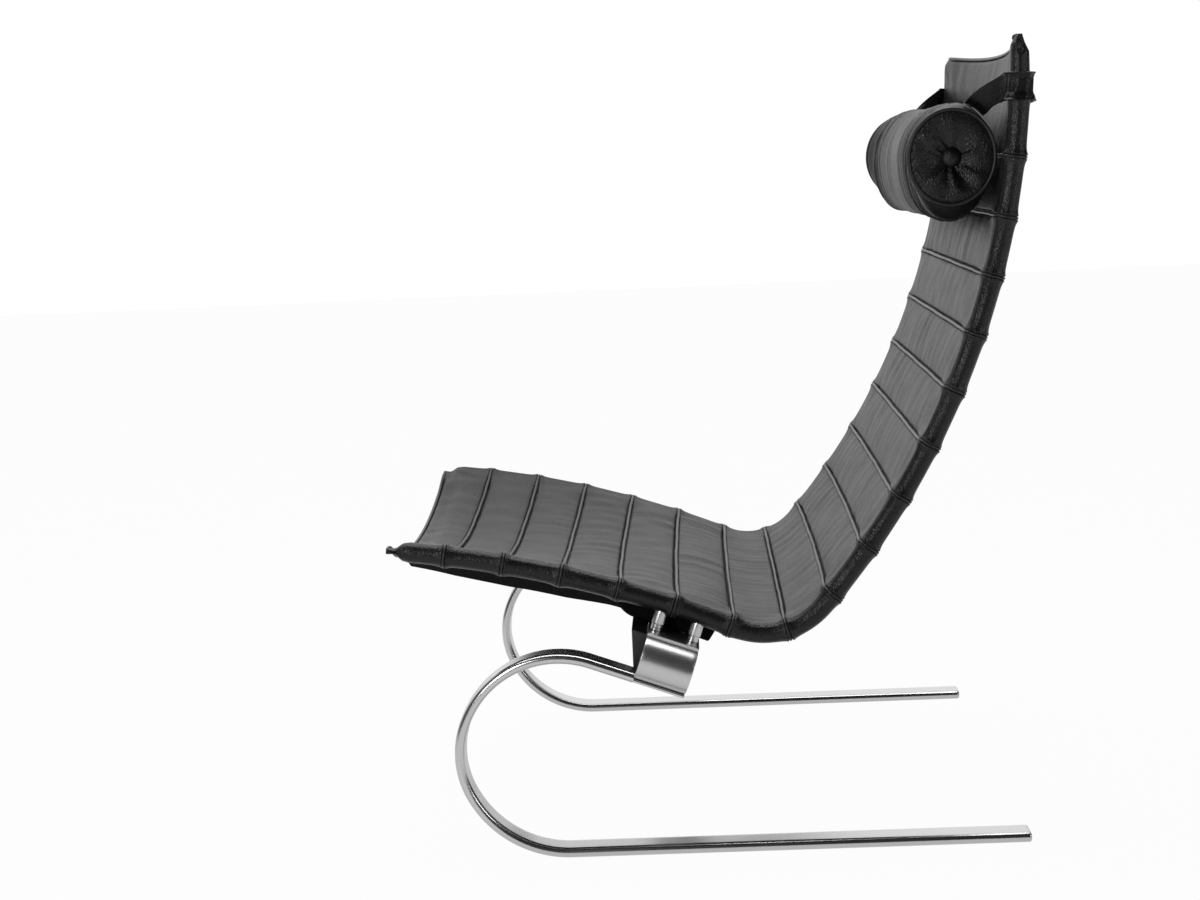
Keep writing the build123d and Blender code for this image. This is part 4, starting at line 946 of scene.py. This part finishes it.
for side, label in SIDES:
    faces_out = []
    for inset in (0.0, BRACKET_THICK):
        radius = BRACKET_R - inset
        middle = TONGUE_TOP + BRACKET_R
        across = np.concatenate([LOW_FLANGE, BRACKET_CENTRE + radius * np.cos(web_turn), TOP_FLANGE])
        rise = np.concatenate([[middle - radius] * 3, middle + radius * np.sin(web_turn), [middle + radius] * 3])
        faces_out.append(np.stack([across, rise], -1))
    profile = np.concatenate([faces_out[0], faces_out[1][::-1]])
    middle_line = (faces_out[0] + faces_out[1]) / 2
    centre_line = np.concatenate([middle_line, middle_line[::-1]])
    slices = []
    for along, keep in ((0.0, 0.8), (0.25, 0.93), (0.7, 1.0), *((step, 1.0) for step in np.linspace(6, 58, 8)),
                        (BRACKET_LENGTH - 0.7, 1.0), (BRACKET_LENGTH - 0.25, 0.93), (BRACKET_LENGTH, 0.8)):
        shape = centre_line + (profile - centre_line) * keep
        slices.append(on_slope(along, side * shape[:, 0], shape[:, 1]))
    slices = np.array(slices)
    half_way = slices.shape[1] // 2
    build(f"bracket_strip_{label}", [layer_shell(slices[:, :half_way], slices[:, half_way:][:, ::-1])], SATIN_STEEL,
          f"bracket_{label}", sharp=50.0)
give(("mounting_plate_left", "mounting_plate_right"), SATIN_STEEL)
give(("standoff_screws", "tongue_bolts", "tongue_nuts", "rail_screws"), FASTENER_STEEL)

AT_POINTS, point_keys, point_in = geometry_tree("pieces_at_points", {
    "Piece": "NodeSocketObject", "Turn": "NodeSocketVector", "Finish": "NodeSocketMaterial"})
standing = node(AT_POINTS, "GeometryNodeObjectInfo", {"Object": point_in["Piece"]})
stood = node(AT_POINTS, "GeometryNodeInstanceOnPoints",
             {"Points": point_in["Geometry"], "Instance": standing.outputs["Geometry"],
              "Rotation": point_in["Turn"]})
stood_real = node(AT_POINTS, "GeometryNodeRealizeInstances", {0: stood.outputs[0]})
stood_finished = node(AT_POINTS, "GeometryNodeSetMaterial",
                      {0: stood_real.outputs[0], "Material": point_in["Finish"]})
node(AT_POINTS, "NodeGroupOutput", {0: stood_finished.outputs[0]})


def turned_piece(name, profile):
    """A piece turned on a lathe: radii and heights from its foot to its head, round Z."""
    turn = around(40)
    rings = np.array([points_of(r * np.cos(turn), r * np.sin(turn), h) for r, h in profile])
    points, faces = ring_sweep(rings)
    if volume_of(points, faces) < 0:
        faces = [face[::-1] for face in faces]
    mesh = bpy.data.meshes.new(name)
    mesh.from_pydata((points * MM).tolist(), [], faces)
    return bpy.data.objects.new(name, mesh)


def stand_on_plates(name, lift, profile, cad_name):
    """Four turned pieces square to the slope, with their feet this far above the plates."""
    spots = [on_slope(along, side * HALF, PLATE_TOP + lift) for side in (-1, 1) for along in STANDOFFS]
    carrier = bpy.data.meshes.new(name)
    carrier.from_pydata((np.array(spots) * MM).tolist(), [], [])
    made = plain_mesh(name, in_scene(name + "_spots", carrier), AT_POINTS, point_keys,
                      {"Piece": turned_piece(name + "_one", profile), "Turn": (0.0, -SLOPE, 0.0),
                       "Finish": SATIN_STEEL})
    made.data.set_sharp_from_angle(angle=math.radians(40))
    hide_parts(cad_name)


stand_on_plates("standoff_collar_set", 0.0, [(6.0, 0.0), (6.5, 0.4), (6.5, 7.6), (6.1, COLLAR_HEIGHT)],
                "standoff_collars")
stand_on_plates("standoff_boss_set", COLLAR_HEIGHT, [(7.2, 0.0), (7.75, 0.5), (7.75, 16.0), (7.2, 19.0)],
                "standoff_bosses")

# ------------------------------------------------------------------- cross rail
# A black powder-coated box rail of folded sheet joins the two brackets, with a
# welded plate over each end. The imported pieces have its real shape.
BLACK_METAL, metal_tree, metal_inputs = finish_of("black_metal", 0.34)
peel = noise(metal_tree, object_place(metal_tree), 1300.0)
metal_wear = use(metal_tree, EDGE_WEAR, {"Vector": object_place(metal_tree), "Reach": 0.1})
metal_tree.links.new(blend_colours(metal_tree, metal_wear["Mask"], (0.012, 0.012, 0.012), (0.05, 0.05, 0.05)),
                     metal_inputs["Base Color"])
metal_tree.links.new(ramp(metal_tree, peel, 0.3, 0.7, 0.28, 0.42), metal_inputs["Roughness"])
bump(metal_tree, metal_inputs, peel, 0.15, 0.0001)
give(("cross_rail", "cross_rail_caps"), BLACK_METAL)

# -------------------------------------------------------------------- neck roll
# A bolster of foam in a leather cover, gathered on to oval end discs that are
# drawn in by a covered button. It lies against the back on its strap, and
# slides along the tubes with it.
ROLL_PLACE = SIDE_LENGTH - 149.2
ROLL_HALF = 316.0
ROLL_UP, ROLL_OUT = 56.5, 48.5
ROLL_CORD_R = 2.2
ROLL_WALL, CORE_IN = 5.2, 5.5
DISC_UP, DISC_OUT, DISC_SHIFT = 57.2, 52.0, 3.6
DISC_FACE_IN, DISC_BACK_IN, RING_IN = 1.4, 2.6, 0.9
DISC_BACK = ROLL_HALF - 7.8
BUTTON_BACK, BUTTON_SEAT = ROLL_HALF - 6.6, ROLL_HALF - 6.0
BUTTON_RISE, BUTTON_R = 8.2, 12.3
RING_STEPS, RING_SIDES = 180, 14
ROLL_RISE = CORD_RING + 2.0 + 0.3 + ROLL_OUT + ROLL_CORD_R - 1.0
roll_x, roll_z, roll_angle = (float(value) for value in side_at(ROLL_PLACE))
roll_x -= ROLL_RISE * math.sin(roll_angle)
roll_z += ROLL_RISE * math.cos(roll_angle)


def on_roll(across, up, out):
    """Points round the roll: across the chair, up along the back and away from it."""
    x = roll_x + up * math.cos(roll_angle) - out * math.sin(roll_angle)
    z = roll_z + up * math.sin(roll_angle) + out * math.cos(roll_angle)
    return points_of(x, across, z)


def oval(across, half_up, half_out, turn, shift=0.0):
    """Points on ovals square to the roll."""
    return on_roll(across, half_up * np.cos(turn), half_out * np.sin(turn) + shift)


ROLL_FOLDS = ((31, 2.2, 5.0), (46, 4.0, 2.4), (62, 3.0, 4.4), (84, 5.0, 3.0), (110, 4.4, 4.0), (146, 7.0, 2.8),
              (188, 8.0, 2.4), (240, 11.0, 2.0))
ROLL_LEATHER = leather("roll_leather", (0.0125, 0.0125, 0.013), 0.36, 400.0, 55.0, 0.35)
# The end discs' leather is a darker copy of the roll's leather: painted shade for discs that face away from the
# light.
DISC_LEATHER_PAINTED_SHADE = leather("disc_leather_painted_shade", (0.006, 0.006, 0.0065), 0.27, 310.0, 60.0, 0.6)
roll_turn = around(120)[None, :]
even = np.linspace(-1, 1, 241)[:, None]
roll_across = ROLL_HALF * (0.86 * even + 0.14 * np.sin(even * math.pi / 2))
roll_luck = np.random.default_rng(12)
swell = np.zeros((len(roll_across), roll_turn.shape[1]))
for end in (-1, 1):
    from_end = ROLL_HALF + end * roll_across
    for middle, wide, deep in ROLL_FOLDS:
        tilt = roll_luck.uniform(3, 9) * np.cos(roll_turn - phase(roll_luck))
        wave = roll_luck.uniform(0.5, 2.0) * np.sin(3 * roll_turn + phase(roll_luck))
        fade = 0.45 + 0.55 * np.cos((roll_turn - roll_luck.uniform(1.2, 3.6)) / 2) ** 2
        swell -= 1.3 * deep * fade * hump(from_end - middle - tilt - wave, 0.85 * wide)
        swell += 0.6 * deep * fade * hump(from_end - middle - wide * 1.9 - tilt - wave, wide)
    swell -= 1.6 * hump(from_end, 3.0)
for _ in range(8):
    count, turn, stretch = roll_luck.integers(1, 5), phase(roll_luck), roll_luck.uniform(40, 120)
    swell += 0.22 * np.sin(count * roll_turn + turn + roll_across / stretch)
seam_turn = 0.62
swell -= 1.1 * hump(roll_turn - seam_turn, 0.02)
swell += 0.5 * hump(np.abs(roll_turn - seam_turn) - 0.075, 0.03)
near_end = np.minimum(ROLL_HALF + roll_across, ROLL_HALF - roll_across)
plump = 7.0 * (1 - np.exp(-near_end / 8.0)) * np.cos(roll_turn) ** 2
plump = plump + 11.0 * smooth(-np.cos(roll_turn)) * smooth(near_end / 24)
mouth = hump(near_end, 14)
barrel_up = (ROLL_UP + swell + 0.8 * mouth) * np.cos(roll_turn) + plump * np.sign(np.cos(roll_turn))
barrel_out = (ROLL_OUT + swell + 3.5 * mouth) * np.sin(roll_turn) + DISC_SHIFT * mouth
barrel_out = barrel_out - 3.0 * np.maximum(np.sin(roll_turn), 0) * smooth(near_end / 40)
rings = on_roll(roll_across, barrel_up, barrel_out)
core_across = np.linspace(-ROLL_HALF + 9, ROLL_HALF - 9, 30)[:, None]
inner = oval(core_across, ROLL_UP - ROLL_WALL, ROLL_OUT - ROLL_WALL, roll_turn)
end_tips = [on_roll(end * (ROLL_HALF - 8.4), 0.0, DISC_SHIFT) for end in (-1, 1)]
roll_cover = build("roll_cover", [ring_sweep(rings, *end_tips), (*ring_sweep(inner), "cavity")], ROLL_LEATHER,
                   "headrest_cover", "headrest")
core_rings = oval(core_across * 0.995, ROLL_UP - CORE_IN, ROLL_OUT - CORE_IN, roll_turn)
roll_core = build("roll_core", [ring_sweep(core_rings)], FOAM, "headrest_core", "headrest")

disc_turn = around(180)[None, :]
disc_rim = 0.9 + 0.1 * np.sin(np.linspace(0.1, math.pi / 2, 9))
disc_share = np.concatenate([np.linspace(0.02, 0.9, 40), disc_rim])[:, None]
discs, ring_cords, buttons = [], [], []
for side in (-1, 1):
    luck = np.random.default_rng(60 + side)
    face = 2.4 * (1 - disc_share ** 8) - 9.0 * hump(disc_share, 0.45)
    crumple = np.zeros((len(disc_share), disc_turn.shape[1]))
    for _ in range(12):
        at, wide, deep = phase(luck), luck.uniform(0.1, 0.26), luck.uniform(0.9, 2.4)
        lean, begin, finish = luck.normal(0, 0.35), luck.uniform(0.2, 0.4), luck.uniform(0.55, 1.0)
        off = (disc_turn - at - lean * disc_share + math.pi) % (2 * math.pi) - math.pi
        spread = wide * (0.7 + 0.6 * disc_share)
        ridge = hump(off, spread) - 0.8 * hump(off - 1.9 * spread, spread)
        crumple += (deep * ridge * smooth((disc_share - begin + 0.15) / 0.2)
                    * smooth((finish - disc_share) / 0.35 + 0.4))
    crumple = crumple * smooth((1 - disc_share) / 0.14)
    proud = side * (ROLL_HALF + 0.2 + face + crumple)
    outer_grid = oval(proud, (DISC_UP - DISC_FACE_IN) * disc_share, (DISC_OUT - DISC_FACE_IN) * disc_share,
                      disc_turn, DISC_SHIFT)
    back_grid = oval(side * DISC_BACK, (DISC_UP - DISC_BACK_IN) * disc_share,
                     (DISC_OUT - DISC_BACK_IN) * disc_share, disc_turn, DISC_SHIFT)
    discs.append(ring_sweep(np.concatenate([outer_grid, back_grid[::-1]])))
    ring_at = side * (ROLL_HALF + 2.0)
    ring_line = oval(ring_at, DISC_UP - RING_IN, DISC_OUT - RING_IN, around(RING_STEPS), DISC_SHIFT)
    spoke = ring_line - on_roll(ring_at, 0.0, DISC_SHIFT)
    spoke = spoke / np.linalg.norm(spoke, axis=1)[:, None]
    wrap_turn = around(RING_SIDES)
    torus = ring_line[:, None] + ROLL_CORD_R * 1.05 * (np.cos(wrap_turn)[None, :, None] * spoke[:, None]
                                                      + np.sin(wrap_turn)[None, :, None] * np.array([0, side, 0.0]))
    index = np.arange(RING_STEPS * RING_SIDES).reshape(RING_STEPS, RING_SIDES)
    beside = np.roll(index, -1, 1)
    corners = [index, beside, np.roll(beside, -1, 0), np.roll(index, -1, 0)]
    ring_cords.append((torus.reshape(-1, 3), np.stack([corner.ravel() for corner in corners], 1).tolist()))
    dome = np.linspace(0.05, math.pi / 2, 9)[:, None]
    small_turn = around(40)[None, :]
    button_r = BUTTON_R * np.sin(dome)
    button_face = side * (BUTTON_SEAT + BUTTON_RISE * np.cos(dome))
    button_front = oval(button_face, button_r, button_r, small_turn, DISC_SHIFT)
    steps_in, back_r = np.array([[0.0], [0.8], [1.6]]), np.array([[12.0], [11.2], [6.0]])
    button_foot = oval(side * BUTTON_BACK - side * steps_in, back_r, back_r, small_turn, DISC_SHIFT)
    buttons.append(ring_sweep(np.concatenate([button_front, button_foot])))
build("roll_end_discs", discs, DISC_LEATHER_PAINTED_SHADE, "headrest_end_discs", "headrest")
build("roll_piping", ring_cords, PIPING_LEATHER_PAINTED_HIGHLIGHT, "headrest_piping", "headrest", sharp=80.0)
# The buttons take the sleeves' darker leather, with its painted shade.
build("roll_buttons", buttons, SLEEVE_LEATHER_PAINTED_SHADE, "headrest_buttons", "headrest")

# ----------------------------------------------------------------- roll's strap
# One wide leather strap is sewn to the tops of the roll's ends, goes round the
# outer side of each sleeve and passes behind the back. Its edges are turned
# and rolled, and it stands out over the seam cord that it covers.
STRAP_LEATHER = leather("strap_leather", (0.005, 0.005, 0.0055), 0.24, 330.0, 55.0, 0.4, 0.4, 0.22)
STRAP_PLACE = SIDE_LENGTH - 60.6
STRAP_HALF = 16.5
STRAP_THICK = 1.7
STRAP_IN = 15.3
BAND_BOW = 34.0
TIE_LEAVE, TIE_LIFT = (4.0, -22.0), 2.0
TIE_LAND, TIE_TURN, TIE_FAN = (14.0, -9.0), -20.0, 15.0
strap_steps = np.linspace(-1, 1, 41)
covered = STRAP_PLACE - (CHANNELS - 1) * PITCH
strap_bulge = 1.3 * hump(strap_steps * STRAP_HALF + covered, 3.2) + 1.6 * smooth((strap_steps - 0.55) / 0.4)
strap_bulge = strap_bulge + 3.4 * smooth((-strap_steps - 0.45) / 0.55)
rolled = 1.1 * hump(np.abs(strap_steps) - 0.94, 0.05)
loop_turn = np.radians(np.linspace(-90, 97, 61))
strap_places = STRAP_PLACE + strap_steps[:, None] * STRAP_HALF
STRAP_FACES = ((0.0, -0.2), (STRAP_THICK, 1))
strap_shells = []
for side in (-1, 1):
    pair = []
    for lift, edge in STRAP_FACES:
        radius = (STRAP_IN - 1.0 + strap_bulge + lift + rolled * edge)[:, None]
        ripple = 0.3 * np.sin(5 * loop_turn + side)[None, :] * np.abs(strap_steps)[:, None]
        ripple = ripple + 0.35 * np.sin(9 * loop_turn + 2 * strap_steps[:, None] + side)
        radius = radius + ripple
        pair.append(on_sling(strap_places, side * (HALF + radius * np.cos(loop_turn)), radius * np.sin(loop_turn)))
    strap_shells.append(layer_shell(pair[1], pair[0]))
band_across = np.linspace(-1, 1, 121)
band = []
for lift, edge in STRAP_FACES:
    drop = STRAP_IN - 1.0 + strap_bulge[:, None] + (BAND_BOW - STRAP_IN) * (1 - band_across ** 2)[None, :] + lift
    band.append(on_sling(strap_places, (band_across * HALF)[None, :], -(drop + (rolled * edge)[:, None])))
strap_shells.append(layer_shell(*band))
tie = np.linspace(0, 1, 37)
weights = np.stack([(1 - tie) ** 3, 3 * (1 - tie) ** 2 * tie, 3 * (1 - tie) * tie ** 2, tie ** 3], 1)
for side in (-1, 1):
    pair = []
    for lift in (0.0, STRAP_THICK):
        rows = []
        for step, bulge in zip(strap_steps, strap_bulge):
            at = STRAP_PLACE + step * STRAP_HALF
            ring = STRAP_IN - 0.8 + bulge + lift
            leave = on_sling(at, side * (HALF + TIE_LEAVE[0]), ring - 0.4)
            leaving = on_sling(at - 2, side * (HALF + TIE_LEAVE[1]), ring + TIE_LIFT)
            turn = math.radians(TIE_TURN + TIE_FAN * step)
            up = (ROLL_UP + 1.0 + lift) * math.cos(turn) + 7.0 * math.cos(turn) ** 2
            out = (ROLL_OUT + 1.0 + lift) * math.sin(turn)
            land = on_roll(side * (ROLL_HALF - TIE_LAND[0]), up, out)
            landing = on_roll(side * (ROLL_HALF - TIE_LAND[1]), up + 3.0 * math.cos(turn),
                              out + 3.0 * math.sin(turn))
            crease = 0.9 * np.sin(6 * step + 5 * tie + side) + 0.7 * np.sin(13 * step - 9 * tie)
            path = weights @ np.stack([leave, leaving, landing, land])
            rows.append(path + (crease * tie * (1 - tie) * 3)[:, None] * np.array([-0.5, 0.0, 0.87]))
        pair.append(np.array(rows))
    strap_shells.append(layer_shell(pair[1], pair[0]))
build("roll_strap", strap_shells, STRAP_LEATHER, "headrest_strap", "headrest")

# ----------------------------------------------------------------------- studio
# A plain white floor and background, lit by a pale wall and ceiling behind the
# chair, a soft box overhead and a tall strip box on each side of the camera,
# which stands where the photograph was taken from.
floor_mesh = bpy.data.meshes.new("studio_floor")
floor_mesh.from_pydata([(-12, -12, 0), (12, -12, 0), (12, 12, 0), (-12, 12, 0)], [], [(0, 1, 2, 3)])
studio_floor = in_scene("studio_floor", floor_mesh)
studio_floor.location.z = -0.0008
FLOOR_WHITE, FLOOR_IN_STEEL = 0.97, 0.62
floor_paint, floor_tree, floor_inputs = finish_of("studio_floor", 0.6)
floor_speck = noise(floor_tree, object_place(floor_tree), 3.0)
floor_tree.links.new(blend_colours(floor_tree, floor_speck, (0.5, 0.5, 0.5), (0.52, 0.52, 0.52)),
                     floor_inputs["Base Color"])
seen = node(floor_tree, "ShaderNodeLightPath").outputs
glow = node(floor_tree, "ShaderNodeEmission", {"Color": (1, 1, 1, 1), "Strength": 1.0})
see_glow = maths(floor_tree, "MAXIMUM", maths(floor_tree, "MULTIPLY", seen["Is Camera Ray"], FLOOR_WHITE),
                 maths(floor_tree, "MULTIPLY", seen["Is Glossy Ray"], FLOOR_IN_STEEL))
floor_mix = node(floor_tree, "ShaderNodeMixShader", {0: see_glow, 1: floor_tree.nodes["Principled BSDF"].outputs[0],
                                                     2: glow.outputs[0]})
floor_tree.links.new(floor_mix.outputs[0], floor_tree.nodes["Material Output"].inputs["Surface"])
floor_mesh.materials.append(floor_paint)

WALL, CEILING, FRONT, SIDE_FILL, DARKEST = 1.02, 0.7, 0.3, 0.05, 0.02
world = bpy.data.worlds.new("studio")
bpy.context.scene.world = world
world.use_nodes = True
sky = world.node_tree
sky.nodes.clear()
aim = node(sky, "ShaderNodeSeparateXYZ", {0: node(sky, "ShaderNodeTexCoord").outputs["Generated"]}).outputs
behind = maths(sky, "MULTIPLY", ramp(sky, aim[1], -0.05, 0.75), ramp(sky, aim[0], 0.65, 0.15))
overhead = maths(sky, "MULTIPLY", ramp(sky, aim[2], 0.2, 0.9), ramp(sky, aim[1], -0.1, 0.5))
from_front = maths(sky, "MULTIPLY", ramp(sky, aim[0], 0.0, -0.9), ramp(sky, aim[1], -0.5, 0.2))
level = maths(sky, "MAXIMUM", maths(sky, "MULTIPLY", overhead, CEILING), maths(sky, "MULTIPLY", behind, WALL))
level = maths(sky, "MAXIMUM", level, maths(sky, "MULTIPLY", from_front, FRONT))
fill = maths(sky, "MULTIPLY", ramp(sky, aim[0], 0.1, 0.9), SIDE_FILL)
level = maths(sky, "MAXIMUM", level, maths(sky, "MAXIMUM", fill, DARKEST))
rays = node(sky, "ShaderNodeLightPath").outputs
flat_white = maths(sky, "MAXIMUM", rays["Is Camera Ray"], rays["Is Transmission Ray"])
shown = maths(sky, "MAXIMUM", flat_white, level)
sky_light = node(sky, "ShaderNodeBackground", {"Color": (1, 1, 1, 1), "Strength": shown})
node(sky, "ShaderNodeOutputWorld", {"Surface": sky_light.outputs[0]})


def area_lamp(name, at, turned, sizes, power):
    light = bpy.data.lights.new(name, "AREA")
    light.shape = "RECTANGLE"
    light.size, light.size_y = sizes
    light.energy = power
    lamp = in_scene(name, light)
    lamp.location, lamp.rotation_euler = at, turned


area_lamp("overhead_soft_box", (-0.4, 0.35, 2.4), (0.0, 0.2, 0.0), (2.4, 1.2), 36.0)
for label, at, sizes, power in (("left_strip_box", (-1.35, -2.4, 1.35), (0.4, 1.4), 24.0),
                                ("right_strip_box", (2.2, -1.5, 1.2), (0.3, 1.3), 9.0)):
    towards_chair = math.atan2(at[1], at[0] - 0.2) + math.pi / 2
    area_lamp(label, at, (math.pi / 2, 0.0, towards_chair), sizes, power)

CAMERA_AT = (-0.0260, -3.1870, 0.8302)
CAMERA_YAW, CAMERA_PITCH, CAMERA_ROLL = (math.radians(value) for value in (-2.28, 6.94, -2.60))
view_dir = np.array([math.sin(CAMERA_YAW) * math.cos(CAMERA_PITCH), math.cos(CAMERA_YAW) * math.cos(CAMERA_PITCH),
                     -math.sin(CAMERA_PITCH)])
right = np.array([math.cos(CAMERA_YAW), -math.sin(CAMERA_YAW), 0.0])
above = np.cross(right, view_dir)
right_rolled = math.cos(CAMERA_ROLL) * right + math.sin(CAMERA_ROLL) * above
above_rolled = -math.sin(CAMERA_ROLL) * right + math.cos(CAMERA_ROLL) * above
lens = bpy.data.cameras.new("photo_view")
lens.lens = 72.0
lens.sensor_width = 36.0
camera = in_scene("photo_view", lens)
stand = np.eye(4)
stand[:3, 0], stand[:3, 1], stand[:3, 2], stand[:3, 3] = right_rolled, above_rolled, -view_dir, CAMERA_AT
camera.matrix_world = Matrix(stand.tolist())
bpy.context.scene.camera = camera
bpy.context.scene.view_settings.view_transform = "Standard"
